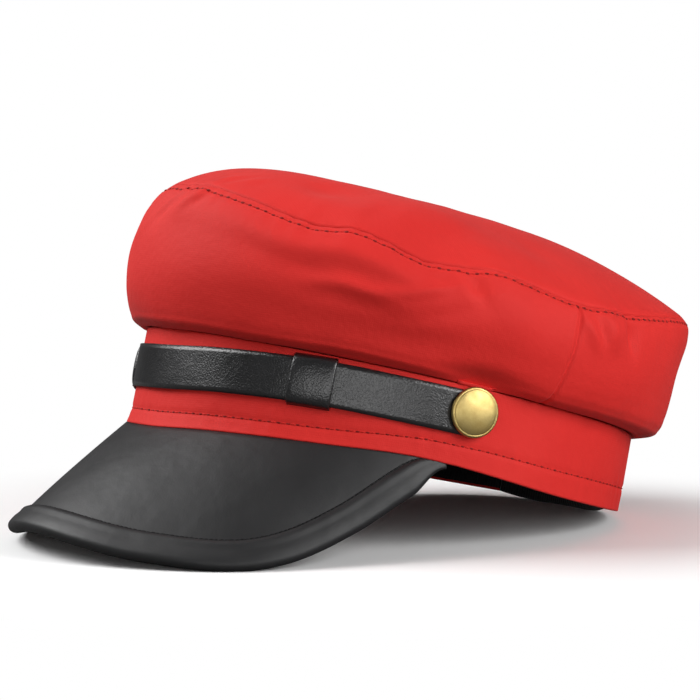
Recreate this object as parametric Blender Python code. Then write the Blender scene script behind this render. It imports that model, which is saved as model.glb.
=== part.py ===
"""Chauffeur cap in red cotton with a black leather peak, strap and brass buttons.

The cap is built level on its headband, in metres: +X is the wearer's left,
-Y the front, +Z up, and the angle round the head is 0 at the front and 90 on
the wearer's left. An empty then tips the whole cap back until the bound edge
of the peak and the size adjuster at the back stand on the floor.
"""

import math

import bmesh
import bpy
import numpy as np

# Headband: an upright oval band. Its lower edge rises towards the ends of the peak,
# and the peak pushes its lower edge out.
BAND_LENGTH = 0.199
BAND_WIDTH = 0.171
BAND_FRONT_HEIGHT = 0.0366
BAND_SIDE_HEIGHT = 0.0342
BAND_BACK_HEIGHT = 0.0300
BAND_WALL = 0.0018
BAND_FLARE = 0.0015
RIM_RISE = 0.0064

# Gap that neighbouring pieces keep. The binding bends tightly and keeps a wider one.
GAP = 0.0003
BINDING_GAP = 0.0005

# Sweatband, inside the headband.
SWEATBAND_WALL = 0.0012
SWEATBAND_RECESS = 0.0010

# Crown: two side panels that bulge out over the band, and a top panel.
CLOTH = 0.0014
OVERHANG = 0.0125
SEAM_HEIGHT = 0.0910
CROWN_HEIGHT = 0.1020
SIDE_SEAM_ANGLE = 94.0
FOLD_DEPTH = 0.0022

# Peak: a stiff plate that slopes down from the band, bound round its edge.
PEAK_LENGTH = 0.0600
PEAK_HALF_ANGLE = 73.4
PEAK_FRONT_SLOPE = 45.0
PEAK_END_SLOPE = 79.0
PEAK_BULGE = 0.0016
PEAK_WALL = 0.0024
BINDING_WIDTH = 0.0085
BINDING_WALL = 0.0010

# Strap across the front, its keepers and its buttons.
STRAP_WIDTH = 0.0162
STRAP_WALL = 0.0012
STRAP_TIP = 0.0040
STRAP_TIP_WIDTH = 0.0100
KEEPER_ANGLE = 41.3
KEEPER_LENGTH = 0.0156
KEEPER_WALL = 0.0011
BUTTON_ANGLE = 77.0
BUTTON_DIAMETER = 0.0186
BUTTON_RIM = 0.0014
BUTTON_DOME = 0.0026
BUTTON_EDGE = 0.0005
BUTTON_LIFT = 0.0008
POST_DIAMETER = 0.0030

# Size adjuster, a strap inside the back of the headband that sags below it.
ADJUSTER_HALF_ANGLE = 24.0
ADJUSTER_WIDTH = 0.0200
ADJUSTER_WALL = 0.0014
ADJUSTER_SAG = 0.0019

# Depth by which the soft pieces that touch the floor are pressed flat.
PRESS = 0.0006

# Mesh fineness.
AROUND = 64
WALL_ROWS = 12
TOP_ROWS = 8
PEAK_STATIONS = 32
PEAK_ROWS = 6
STRAP_STATIONS = 48
ADJUSTER_STATIONS = 24
BUTTON_SIDES = 24

# Small steps in a place on a surface, for its slopes.
STEP = 0.02
FINE_STEP = 0.004

HALF_LENGTH = BAND_LENGTH / 2
HALF_WIDTH = BAND_WIDTH / 2

# Lower edge of the headband: angle, and rise as a share of RIM_RISE.
RIM = (
    (-180, 0.28),
    (-150, 0.20),
    (-121, 0.18),
    (-102, 0.30),
    (-80, 0.70),
    (-69, 0.85),
    (-52, 0.50),
    (-36, 0.12),
    (-20, 0.00),
    (0, 0.02),
    (20, 0.35),
    (45, 0.72),
    (69, 1.00),
    (80, 0.80),
    (102, 0.33),
    (121, 0.18),
    (150, 0.20),
    (180, 0.28),
)

# Share of the band's height that flares, and how tightly.
FLARE_HEIGHT = 0.16
FLARE_POWER = 1.5

# The peak from its right end to its left one: place along the band, length as a share
# of PEAK_LENGTH, and slope between PEAK_FRONT_SLOPE, 0, and PEAK_END_SLOPE, 1.
PEAK_SECTIONS = (
    # place, length, slope
    (-1.00, 0.04, 1.00),
    (-0.90, 0.20, 0.92),
    (-0.75, 0.46, 0.76),
    (-0.55, 0.76, 0.51),
    (-0.30, 0.93, 0.25),
    (0.00, 1.00, 0.00),
    (0.30, 0.99, 0.22),
    (0.55, 0.86, 0.40),
    (0.75, 0.50, 0.70),
    (0.90, 0.20, 0.88),
    (1.00, 0.04, 1.00),
)

# Middle of the strap: angle, and height as a share of the band's own height at the
# front. The strap sits a little lower on the wearer's right.
STRAP_MIDDLE = (
    (-90, 0.640),
    (-60, 0.622),
    (-40, 0.600),
    (-20, 0.596),
    (0, 0.608),
    (20, 0.663),
    (45, 0.708),
    (60, 0.700),
    (90, 0.668),
)

# Top seam of the crown: angle, and height as a share of SEAM_HEIGHT. The cloth slouches
# more on the wearer's left.
SEAM = (
    (-180, 0.848),
    (-135, 0.835),
    (-94, 0.825),
    (-60, 0.880),
    (-28, 0.975),
    (-8, 0.995),
    (8, 0.980),
    (20, 0.947),
    (30, 0.908),
    (37, 0.890),
    (45, 0.906),
    (52, 0.878),
    (60, 0.829),
    (68, 0.835),
    (75, 0.849),
    (84, 0.824),
    (94, 0.794),
    (106, 0.803),
    (128, 0.845),
    (145, 0.866),
    (180, 0.848),
)

# Crown wall in section, bottom to top: height between the band's top and the top seam,
# then how far the cloth stands out from the band at the front, side and back, as shares
# of OVERHANG.
WALL_SECTION = (
    # height, front, side, back
    (-0.004, 0.16, 0.18, 0.22),
    (0.030, 0.45, 0.45, 0.66),
    (0.080, 0.60, 0.62, 0.82),
    (0.190, 0.81, 0.82, 0.92),
    (0.330, 0.95, 0.95, 1.00),
    (0.500, 0.99, 1.02, 1.09),
    (0.680, 0.90, 1.02, 1.18),
    (0.850, 0.68, 0.90, 1.25),
    (0.940, 0.45, 0.76, 1.21),
    (1.000, 0.20, 0.58, 1.09),
)

# How far a button pushes in the crown's lower edge: share of the reach, and the height
# and the button widths over which it fades.
BUTTON_PUSH = 0.80
BUTTON_PUSH_HEIGHT = 0.10
BUTTON_PUSH_WIDTH = 0.75

# How steeply the top panel falls to the seam at the front, side and back: the power of
# the distance from its middle. The seam's own rises and dips reach in by EDGE_POWER.
TOP_FALL = (4.8, 3.0, 2.45)
EDGE_POWER = 2.2

# Dents and folds of the crown. Height is 0 at the band, 1 at the top seam and 2 in the
# middle of the top. Slant leans a fold round the head, in degrees for each unit of
# height, and depth is a share of FOLD_DEPTH, below 0 for a ridge.
FOLDS = (
    # angle, height, half_angle, half_height, slant, depth
    (38, 0.62, 17, 0.17, -10, 0.95),
    (44, 0.80, 22, 0.09, -25, -0.55),
    (68, 0.86, 6, 0.12, 12, 0.75),
    (-8, 0.86, 4, 0.16, 16, 0.60),
    (3, 0.88, 4, 0.14, 18, -0.45),
    (112, 0.80, 3.5, 0.17, 0, 0.75),
    (103, 0.80, 4, 0.16, 0, -0.45),
    (150, 0.60, 16, 0.20, 14, 0.55),
    (-40, 0.70, 16, 0.16, 12, 0.70),
    (-75, 0.55, 14, 0.20, -14, 0.60),
    (-112, 0.78, 5, 0.17, 0, 0.70),
    (-150, 0.64, 18, 0.18, -10, 0.50),
    (30, 1.24, 12, 0.12, 22, 0.90),
    (58, 1.28, 14, 0.12, -18, -0.60),
    (84, 1.34, 16, 0.14, 16, 0.50),
    (-55, 1.30, 20, 0.16, 12, 0.25),
    (170, 1.32, 22, 0.16, 10, 0.35),
)

# Finish: linear red, green and blue, then roughness and metallic.
FINISHES = {
    "red_cotton": (0.60, 0.016, 0.014, 0.75, 0.0),
    "black_leather": (0.018, 0.018, 0.020, 0.45, 0.0),
    "black_strap_leather": (0.022, 0.022, 0.024, 0.35, 0.0),
    "black_webbing": (0.012, 0.012, 0.013, 0.90, 0.0),
    "antique_brass": (0.46, 0.33, 0.13, 0.35, 1.0),
}


def wave(angle, front, side, back):
    """A value that runs smoothly round the head through its front, side and back ones."""
    mean = (front + back + 2 * side) / 4
    return (
        mean
        + (front - back) / 2 * np.cos(angle)
        + (front + back - 2 * side) / 4 * np.cos(2 * angle)
    )


def smooth(table, at):
    """Columns of a table at the values `at` of its first column, with no corners."""
    table = np.array(table, float)
    x, y = table[:, 0], table[:, 1:]
    slopes = np.gradient(y, x, axis=0)
    if x[0] in (0, -180):
        slopes[0] = 0
    if x[-1] == 180:
        slopes[-1] = 0
    at = np.clip(at, x[0], x[-1])
    i = np.clip(np.searchsorted(x, at, side="right") - 1, 0, len(x) - 2)
    width = (x[i + 1] - x[i])[..., None]
    t = (at - x[i])[..., None] / width
    return (
        (1 + 2 * t) * (1 - t) ** 2 * y[i]
        + t * (1 - t) ** 2 * width * slopes[i]
        + t**2 * (3 - 2 * t) * y[i + 1]
        - t**2 * (1 - t) * width * slopes[i + 1]
    )


def wrapped(degrees):
    """The same angle between -180 and 180 degrees."""
    return (degrees + 180) % 360 - 180


def from_front(angle):
    """The angle from the front in degrees, 0 to 180 on either side."""
    return np.abs(wrapped(np.degrees(angle)))


def oval(angle, out, height):
    """Points on the head oval, `out` beyond the band's outer face."""
    angle, out, height = np.broadcast_arrays(angle, out, height)
    return np.stack(
        [(HALF_WIDTH + out) * np.sin(angle), -(HALF_LENGTH + out) * np.cos(angle), height],
        axis=-1,
    )


def outward(angle):
    """The level direction that points straight out of the band."""
    normal = np.stack(
        [np.sin(angle) / HALF_WIDTH, -np.cos(angle) / HALF_LENGTH, 0 * angle], axis=-1
    )
    return normal / np.linalg.norm(normal, axis=-1, keepdims=True)


def degrees_for(length, at_degrees):
    """The angle round the band that a length along it takes at a place."""
    angle = math.radians(at_degrees)
    speed = math.hypot(HALF_WIDTH * math.cos(angle), HALF_LENGTH * math.sin(angle))
    return math.degrees(length / speed)


def around():
    """Angles of the columns of a ring, as one row."""
    return np.radians(np.arange(AROUND) * 360 / AROUND)[None]


def rim(angle):
    return RIM_RISE * smooth(RIM, wrapped(np.degrees(angle)))[..., 0]


def band_top(angle):
    return wave(angle, BAND_FRONT_HEIGHT, BAND_SIDE_HEIGHT, BAND_BACK_HEIGHT)


def seam_height(angle):
    return SEAM_HEIGHT * smooth(SEAM, wrapped(np.degrees(angle)))[..., 0]


def strap_middle(angle):
    return BAND_FRONT_HEIGHT * smooth(STRAP_MIDDLE, wrapped(np.degrees(angle)))[..., 0]


def flare(angle):
    """How far the peak pushes the band's lower edge out."""
    return BAND_FLARE * np.cos(np.radians(np.minimum(from_front(angle), 90))) ** 2


def fold(angle, height):
    """Depth of the dents and folds at a place on the crown."""
    depth = np.zeros(np.broadcast(angle, height).shape)
    for at, level, half_angle, half_height, slant, share in FOLDS:
        up = height - level
        turn = wrapped(np.degrees(angle) - at - slant * up)
        depth += share * np.exp(-((turn / half_angle) ** 2) - (up / half_height) ** 2)
    return FOLD_DEPTH * depth


def crown_wall(angle, height):
    """The crown's wall with no folds: height 0 at the band to 1 at the top seam."""
    out = smooth(WALL_SECTION, height) * OVERHANG
    out = wave(angle, out[..., 0], out[..., 1], out[..., 2])
    half = degrees_for(BUTTON_DIAMETER * BUTTON_PUSH_WIDTH, BUTTON_ANGLE)
    aside = (from_front(angle) - BUTTON_ANGLE) / half
    out = out * (1 - BUTTON_PUSH * np.exp(-(aside**2) - (height / BUTTON_PUSH_HEIGHT) ** 2))
    low, high = band_top(angle), seam_height(angle)
    return oval(angle, out, low + height * (high - low))


def crown_roof(angle, spread):
    """The top panel with no folds: spread 0 in its middle to 1 at the top seam."""
    edge = crown_wall(angle, np.ones_like(spread))
    front, back = WALL_SECTION[-1][1] * OVERHANG, WALL_SECTION[-1][3] * OVERHANG
    middle = np.array([0, (back - front) / 2, 0])
    roof = middle + (edge - middle) * spread[..., None]
    seam_mean = seam_height(around()).mean()
    fall = (CROWN_HEIGHT - seam_mean) * spread ** wave(angle, *TOP_FALL)
    roof[..., 2] = CROWN_HEIGHT - fall + (edge[..., 2] - seam_mean) * spread**EDGE_POWER
    return roof


def crown_base(angle, height):
    """Outer face of the crown with no folds: height 0 to 1 up the wall, 1 to 2 over the top."""
    angle, height = np.broadcast_arrays(angle, height)
    wall = crown_wall(angle, np.minimum(height, 1))
    roof = crown_roof(angle, np.clip(2 - height, 0, 1))
    return np.where((height > 1)[..., None], roof, wall)


def normals(surface, u, v, step_u, step_v):
    """Unit normals of a surface given as a function of two values."""
    along = surface(u + step_u, v) - surface(u - step_u, v)
    up = surface(u, v + step_v) - surface(u, v - step_v)
    normal = np.cross(along, up)
    return normal / np.linalg.norm(normal, axis=-1, keepdims=True)


def crown_face(angle, height):
    """Outer face of the crown with its folds."""
    base = crown_base(angle, height)
    normal = normals(crown_base, angle, height, STEP, STEP)
    return base - normal * fold(angle, height)[..., None]


def crown_layers(angle, height):
    """Outer and inner points of the crown cloth on a grid of angles and heights."""
    angle, height = np.broadcast_arrays(angle, height)
    outer = crown_face(angle, height)
    return outer, outer - normals(crown_face, angle, height, STEP, STEP) * CLOTH


def sheet_faces(rows, columns, start=0, closed=False):
    """Quads of a sheet of points in rows, whose columns may run right round."""
    faces = []
    for row in range(rows - 1):
        for column in range(columns if closed else columns - 1):
            near = start + row * columns
            far = near + columns
            side = (column + 1) % columns
            faces.append((near + column, near + side, far + side, far + column))
    return faces


def slab(outer, inner, closed=False):
    """Points and faces of a wall between an outer and an inner grid."""
    rows, columns = outer.shape[:2]
    count = rows * columns
    faces = sheet_faces(rows, columns, 0, closed) + sheet_faces(rows, columns, count, closed)
    for column in range(columns if closed else columns - 1):
        side = (column + 1) % columns
        for edge in (0, count - columns):
            near, far = edge + column, edge + side
            faces.append((near, far, far + count, near + count))
    if not closed:
        for row in range(0, count - columns, columns):
            for end in (row, row + columns - 1):
                faces.append((end, end + columns, end + columns + count, end + count))
    return np.concatenate([outer.reshape(-1, 3), inner.reshape(-1, 3)]), faces


def bar(sections):
    """Points and faces of a solid swept through closed sections of equal point counts."""
    stations, points = sections.shape[:2]
    faces = sheet_faces(stations, points, closed=True)
    faces.append(tuple(range(points)))
    faces.append(tuple(range((stations - 1) * points, stations * points)))
    return sections.reshape(-1, 3), faces


def closer_at_ends(low, high, count, shrink):
    """Values from low to high whose steps shrink by a share towards both ends."""
    share = np.linspace(0, 1, count)
    share -= shrink * np.sin(2 * math.pi * share) / (2 * math.pi)
    return low + (high - low) * share


def crown_panel(first, last):
    """A side panel of the crown between two side seams, its lower edge turned in on the band."""
    short = degrees_for(GAP / 2, SIDE_SEAM_ANGLE)
    columns = round((last - first) / 360 * AROUND) + 1
    angle = np.radians(np.linspace(first + short, last - short, columns))[None]
    seam_gap = GAP / 2 / (SEAM_HEIGHT - BAND_FRONT_HEIGHT)
    height = closer_at_ends(WALL_SECTION[0][0], 1 - seam_gap, WALL_ROWS, 0.55)[:, None]
    outer, inner = crown_layers(angle, height)
    ledge = band_top(angle) + GAP
    outer_edge = [oval(angle, out, ledge) for out in (-BAND_WALL, GAP)]
    inner_edge = [oval(angle, out, ledge + CLOTH) for out in (-BAND_WALL, GAP)]
    return slab(np.concatenate([*outer_edge, outer]), np.concatenate([*inner_edge, inner]))


def crown_top():
    """The top panel: rings of cloth that close on a middle point on either face."""
    seam_gap = GAP / 2 / HALF_WIDTH
    inward = np.arange(TOP_ROWS)[:, None] / TOP_ROWS
    outer, inner = crown_layers(around(), 1 + seam_gap + (1 - seam_gap) * inward)
    points, faces = slab(outer, inner, closed=True)
    count = TOP_ROWS * AROUND
    innermost = set(range(count - AROUND, count))
    bridge = innermost | {point + count for point in innermost}
    faces = [face for face in faces if not set(face) <= bridge]
    middle = outer[-1].mean(axis=0)
    points = np.concatenate([points, [middle, middle - [0, 0, CLOTH]]])
    for column in range(AROUND):
        side = (column + 1) % AROUND
        for layer in (0, 1):
            ring = count - AROUND + layer * count
            faces.append((ring + column, ring + side, 2 * count + layer))
    return points, faces


def headband():
    angle = around()
    share = np.array([0, FLARE_HEIGHT / 2, FLARE_HEIGHT, 0.5, 1.0])[:, None]
    height = rim(angle) + share * (band_top(angle) - rim(angle))
    push = flare(angle) * np.clip(1 - share / FLARE_HEIGHT, 0, 1) ** FLARE_POWER
    return slab(oval(angle, push, height), oval(angle, push - BAND_WALL, height), closed=True)


def sweatband():
    angle = around()
    share = np.array([0, 0.5, 1.0])[:, None]
    low = rim(angle) + SWEATBAND_RECESS
    height = low + share * (band_top(angle) - SWEATBAND_RECESS - low)
    out = -BAND_WALL - GAP
    return slab(
        oval(angle, out, height), oval(angle, out - SWEATBAND_WALL, height), closed=True
    )


def peak_stations():
    """Places along the peak, closer together at its narrow ends."""
    return closer_at_ends(-1, 1, PEAK_STATIONS + 1, 0.4)


def peak_section(side):
    """Length of the peak and its slope at a place along the band."""
    share = smooth(PEAK_SECTIONS, side)
    slope = PEAK_FRONT_SLOPE + (PEAK_END_SLOPE - PEAK_FRONT_SLOPE) * share[..., 1]
    return PEAK_LENGTH * share[..., 0], np.radians(slope)


def peak_face(side, down):
    """Top face of the peak: side -1 to 1 along the band, down 0 at the band, 1 at the edge."""
    side, down = np.broadcast_arrays(side, down)
    angle = np.radians(PEAK_HALF_ANGLE) * side
    length, slope = peak_section(side)
    out = outward(angle) * np.cos(slope)[..., None]
    lift = outward(angle) * np.sin(slope)[..., None]
    out[..., 2] -= np.sin(slope)
    lift[..., 2] += np.cos(slope)
    bulge = PEAK_BULGE * (length / PEAK_LENGTH) ** 2 * 4 * down * (1 - down)
    root = oval(angle, flare(angle), rim(angle) - GAP)
    return root + out * (length * down)[..., None] + lift * bulge[..., None]


def peak_normal(side, down):
    side, down = np.broadcast_arrays(side, down)
    normal = normals(peak_face, side, down, STEP / 2, STEP)
    return normal * np.sign(normal[..., 2:])


def peak_layer(side, down, depth):
    """A face of the peak `depth` below its top face."""
    return peak_face(side, down) - peak_normal(side, down) * depth


def peak():
    """The peak's plate, whose root runs level under the band before it bends down."""
    side = peak_stations()[None]
    down = np.linspace(0, 1, PEAK_ROWS)[:, None]
    angle = np.radians(PEAK_HALF_ANGLE) * side
    bend = PEAK_WALL * np.tan(peak_section(side)[1] / 2)
    ledge = rim(angle) - GAP
    top = np.concatenate([oval(angle, flare(angle) - BAND_WALL, ledge), peak_face(side, down)])
    under = [oval(angle, flare(angle) - bend - inset, ledge - PEAK_WALL) for inset in (GAP, 0)]
    under = np.concatenate([*under, peak_layer(side, down[1:], PEAK_WALL)])
    return slab(top, under)


def edge_frame(side):
    """The peak's edge at mid-thickness, the way straight out of it, and the face's normal."""
    along = peak_face(side + FINE_STEP, 1.0) - peak_face(side - FINE_STEP, 1.0)
    normal = peak_normal(side, 1.0)
    away = np.cross(along, normal)
    away /= np.linalg.norm(away, axis=-1, keepdims=True)
    outside = np.sum(away * outward(np.radians(PEAK_HALF_ANGLE) * side), axis=-1)
    away *= np.sign(outside)[:, None]
    return peak_layer(side, 1.0, PEAK_WALL / 2), away, normal


def in_from_edge(side, width):
    """The place on the peak, as side and down, that lies `width` in from its edge.

    It stays below the peak's first row, where the plate has bent clear of the band.
    """
    edge, away, _ = edge_frame(side)
    target = peak_face(side, 1.0) - away * width
    place = np.stack([side, 1 - width / PEAK_LENGTH + 0 * side], axis=-1)
    furthest = FINE_STEP * 10
    for _ in range(20):
        here = peak_face(place[:, 0], place[:, 1])
        by_side = (peak_face(place[:, 0] + FINE_STEP, place[:, 1]) - here) / FINE_STEP
        by_down = (here - peak_face(place[:, 0], place[:, 1] - FINE_STEP)) / FINE_STEP
        slopes = np.stack([by_side, by_down], axis=-1)
        for i in range(len(side)):
            change = np.linalg.lstsq(slopes[i], target[i] - here[i], rcond=None)[0]
            place[i] += np.clip(change, -furthest, furthest)
        place[:, 0] = np.clip(place[:, 0], -1, 1)
        place[:, 1] = np.clip(place[:, 1], 1 / (PEAK_ROWS - 1), 1)
    return place[:, 0], place[:, 1]


def peak_binding():
    """A strip folded round the peak's edge, swept through U-shaped sections."""
    side = peak_stations()
    middle, away, normal = edge_frame(side)
    near = PEAK_WALL / 2 + BINDING_GAP
    far = near + BINDING_WALL
    turns = np.radians(np.linspace(90, -90, 6))
    inner_side, inner_down = in_from_edge(side, BINDING_WIDTH)

    def leg(offset):
        return peak_layer(inner_side, inner_down, PEAK_WALL / 2 - offset)

    def roll(radius):
        return [middle + radius * (away * math.cos(t) + normal * math.sin(t)) for t in turns]

    outer = [leg(far), *roll(far), leg(-far)]
    inner = [leg(near), *roll(near), leg(-near)]
    return bar(np.stack(outer + inner[::-1], axis=1))


def upright(angle, middle, section):
    """A strip swept round the band through sections of (out, rise above its middle)."""
    return bar(np.stack([oval(angle, out, middle + rise) for out, rise in section], axis=1))


def strap():
    last = BUTTON_ANGLE + degrees_for(STRAP_TIP, BUTTON_ANGLE)
    angle = np.radians(np.linspace(-last, last, STRAP_STATIONS + 1))
    half = np.full(angle.shape, STRAP_WIDTH / 2)
    half[[0, -1]] = STRAP_TIP_WIDTH / 2
    back, face = GAP, GAP + STRAP_WALL
    section = [(back, -half), (back, half), (face, half), (face, -half)]
    return upright(angle, strap_middle(angle), section)


def strap_keeper(at_degrees):
    """A loop over the strap, whose ends meet the band."""
    half_turn = degrees_for(KEEPER_LENGTH / 2, at_degrees)
    angle = np.radians(np.linspace(at_degrees - half_turn, at_degrees + half_turn, 5))
    near = STRAP_WALL + 2 * GAP
    far = near + KEEPER_WALL
    low = STRAP_WIDTH / 2 + GAP
    high = low + KEEPER_WALL
    section = [
        (GAP, high), (far, high), (far, -high), (GAP, -high),
        (GAP, -low), (near, -low), (near, low), (GAP, low),
    ]
    return upright(angle, strap_middle(angle), section)


def size_adjuster():
    """A strap inside the back of the headband, sagging below it between its ends."""
    turn = np.linspace(-1, 1, ADJUSTER_STATIONS + 1)
    angle = math.pi + np.radians(ADJUSTER_HALF_ANGLE) * turn
    middle = rim(angle) - ADJUSTER_SAG * (1 - np.abs(turn) ** 3) + ADJUSTER_WIDTH / 2
    face = -BAND_WALL - SWEATBAND_WALL - 2 * GAP
    back = face - ADJUSTER_WALL
    half = ADJUSTER_WIDTH / 2
    return upright(angle, middle, [(face, -half), (face, half), (back, half), (back, -half)])


def turned(profile):
    """Points and faces of a profile of (radius, height) turned about Z, closed at both ends."""
    turn = np.arange(BUTTON_SIDES) * 2 * math.pi / BUTTON_SIDES
    rings = [
        [(radius * math.cos(t), radius * math.sin(t), height) for t in turn]
        for radius, height in profile
    ]
    return bar(np.array(rings))


def button():
    """A domed cap on a post, standing on the strap along +Z."""
    radius = BUTTON_DIAMETER / 2
    dome = [
        (radius * math.cos(t), BUTTON_RIM + BUTTON_DOME * math.sin(t))
        for t in np.radians((20, 40, 58, 74, 86))
    ]
    profile = [
        (POST_DIAMETER / 2, -2 * GAP - STRAP_WALL - BAND_WALL),
        (POST_DIAMETER / 2, 0),
        (radius - BUTTON_EDGE, 0),
        (radius, BUTTON_EDGE),
        (radius, BUTTON_RIM),
        *dome,
    ]
    return turned(profile)


def post_hole():
    """What the post's hole takes away, a band's wall longer at both ends."""
    radius = POST_DIAMETER / 2 + GAP
    return turned([(radius, -2 * GAP - STRAP_WALL - 2 * BAND_WALL), (radius, BAND_WALL)])


def resting_pose(front, back):
    """The tilt and lift that press the lowest points of both sets just into the floor."""

    def lowest(points, tilt):
        return (points[:, 2] * math.cos(tilt) - points[:, 1] * math.sin(tilt)).min()

    low, high = 0.0, math.radians(60)
    for _ in range(60):
        tilt = (low + high) / 2
        if lowest(front, tilt) < lowest(back, tilt):
            low = tilt
        else:
            high = tilt
    return tilt, -PRESS - lowest(front, tilt)


def press_flat(points, tilt, lift, clearance):
    """Points with all that would sink below `clearance` over the floor raised to it."""
    up = np.array([0, -math.sin(tilt), math.cos(tilt)])
    height = points @ up + lift
    return points + np.clip(clearance - height, 0, None)[:, None] * up


def material(name, red, green, blue, roughness, metallic):
    finish = bpy.data.materials.new(name)
    finish.use_nodes = True
    shader = finish.node_tree.nodes["Principled BSDF"]
    shader.inputs["Base Color"].default_value = (red, green, blue, 1)
    shader.inputs["Roughness"].default_value = roughness
    shader.inputs["Metallic"].default_value = metallic
    finish.diffuse_color = (red, green, blue, 1)
    return finish


def piece(name, shape, finish, pose, smooth_to=40):
    """An object made of points and faces, held by the empty that tilts the cap."""
    points, faces = shape
    mesh = bpy.data.meshes.new(name)
    form = bmesh.new()
    corners = [form.verts.new(point) for point in points]
    for face in faces:
        form.faces.new([corners[i] for i in face])
    bmesh.ops.recalc_face_normals(form, faces=form.faces)
    form.to_mesh(mesh)
    form.free()
    mesh.shade_smooth()
    mesh.set_sharp_from_angle(angle=math.radians(smooth_to))
    mesh.materials.append(material(f"{name}_{finish}", *FINISHES[finish]))
    made = bpy.data.objects.new(name, mesh)
    bpy.context.collection.objects.link(made)
    made.parent = pose
    return made


def on_strap(made, at_degrees):
    """Places a turned piece on the strap's face, its +Z pointing straight out."""
    angle = math.radians(at_degrees)
    out = outward(np.array(angle))
    made.location = oval(angle, 2 * GAP + STRAP_WALL, strap_middle(angle) + BUTTON_LIFT)
    made.rotation_euler = (math.pi / 2, 0, math.atan2(out[0], -out[1]))


def drill(made, cutter):
    """Cuts a hole for a button's post."""
    hole = made.modifiers.new(cutter.name, "BOOLEAN")
    hole.operation = "DIFFERENCE"
    hole.solver = "EXACT"
    hole.object = cutter


def main():
    for old in list(bpy.data.objects):
        bpy.data.objects.remove(old)

    seam = SIDE_SEAM_ANGLE
    binding, adjuster = peak_binding(), size_adjuster()
    tilt, lift = resting_pose(binding[0], adjuster[0])
    shapes = {
        "crown_top": ("red_cotton", crown_top()),
        "crown_front": ("red_cotton", crown_panel(-seam, seam)),
        "crown_back": ("red_cotton", crown_panel(seam, 360 - seam)),
        "headband": ("red_cotton", headband()),
        "sweatband": ("black_webbing", sweatband()),
        "peak": ("black_leather", peak()),
        "peak_binding": ("black_leather", binding),
        "strap": ("black_strap_leather", strap()),
        "strap_keeper_left": ("black_strap_leather", strap_keeper(KEEPER_ANGLE)),
        "strap_keeper_right": ("black_strap_leather", strap_keeper(-KEEPER_ANGLE)),
        "size_adjuster": ("black_webbing", adjuster),
    }
    floor = {"peak": BINDING_GAP + BINDING_WALL, "peak_binding": 0, "size_adjuster": 0}
    for name, clearance in floor.items():
        finish, (points, faces) = shapes[name]
        shapes[name] = finish, (press_flat(points, tilt, lift, clearance), faces)

    everything = np.concatenate([points for _, (points, _) in shapes.values()])
    forward = everything[:, 1] * math.cos(tilt) + everything[:, 2] * math.sin(tilt)
    pose = bpy.data.objects.new("resting_pose", None)
    bpy.context.collection.objects.link(pose)
    pose.rotation_euler = (-tilt, 0, 0)
    pose.location = (0, -(forward.min() + forward.max()) / 2, lift)

    made = {name: piece(name, shape, finish, pose) for name, (finish, shape) in shapes.items()}
    for name, angle in (("left", BUTTON_ANGLE), ("right", -BUTTON_ANGLE)):
        on_strap(piece(f"button_{name}", button(), "antique_brass", pose), angle)
        cutter = piece(f"post_hole_{name}", post_hole(), "antique_brass", pose)
        on_strap(cutter, angle)
        cutter.hide_render = True
        cutter.display_type = "WIRE"
        drill(made["headband"], cutter)
        drill(made["strap"], cutter)


main()
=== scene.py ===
# %% [markdown]
# # A red cotton chauffeur cap
# The real cap is sewn from a few flat patterns: a top panel, two side panels and a band in red
# cotton, with a stiff peak and a narrow strap in black coated leather. This lesson rebuilds
# each of them as a fine mesh over the solids of the same cap. The solids come in first,
# because they fix the size and the place of everything that follows.

# %% Load the solids
import math
from contextlib import contextmanager

import bmesh
import bpy
import numpy as np
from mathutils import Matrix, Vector


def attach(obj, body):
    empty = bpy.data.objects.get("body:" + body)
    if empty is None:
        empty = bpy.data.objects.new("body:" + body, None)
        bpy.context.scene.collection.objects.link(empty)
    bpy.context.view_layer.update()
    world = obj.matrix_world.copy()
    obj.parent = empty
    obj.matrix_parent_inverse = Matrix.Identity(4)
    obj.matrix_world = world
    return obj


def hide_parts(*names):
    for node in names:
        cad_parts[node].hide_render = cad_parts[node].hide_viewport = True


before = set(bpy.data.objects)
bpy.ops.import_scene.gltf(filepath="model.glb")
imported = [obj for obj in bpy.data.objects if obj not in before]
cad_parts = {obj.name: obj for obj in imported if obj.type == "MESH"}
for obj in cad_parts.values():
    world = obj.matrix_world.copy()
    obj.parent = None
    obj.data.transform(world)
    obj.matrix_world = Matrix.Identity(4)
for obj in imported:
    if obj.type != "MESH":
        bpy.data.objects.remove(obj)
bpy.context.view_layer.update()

# %% [markdown]
# ## The cap's own frame
# A hat maker thinks of a cap as standing level on its band, so the pieces are worked out
# that way: X to the wearer's left, -Y to the front, Z up, all in metres, and the angle round
# the head is 0 at the front and 90 on the wearer's left. On a table the real cap tips back
# until its peak and the strap inside its back touch down. One turn about X does that, and it
# could also be an empty that all pieces are parented to. Turning the points themselves was
# chosen, because the soft pieces can then be pressed flat at the table's height.

# %% The resting pose
TILT = math.radians(-13.0215)
POSE_FORWARD = 0.01149
POSE_LIFT = 0.02111


def to_table(points):
    """Points of the level cap, tipped back as it rests."""
    cos, sin = math.cos(TILT), math.sin(TILT)
    turn = np.array([[1, 0, 0], [0, cos, -sin], [0, sin, cos]])
    return points @ turn.T + [0, POSE_FORWARD, POSE_LIFT]


print(f"at rest the level cap is turned {math.degrees(TILT):.1f} degrees about X")

# %% [markdown]
# ## Smooth tables
# A pattern maker writes down a few measures round the head and joins them with a curve. The
# same is done here: short tables of places and values, and one function that runs smoothly
# through them. A spline library would do it too, but a cubic through each pair of rows is
# enough and never overshoots far.

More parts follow.
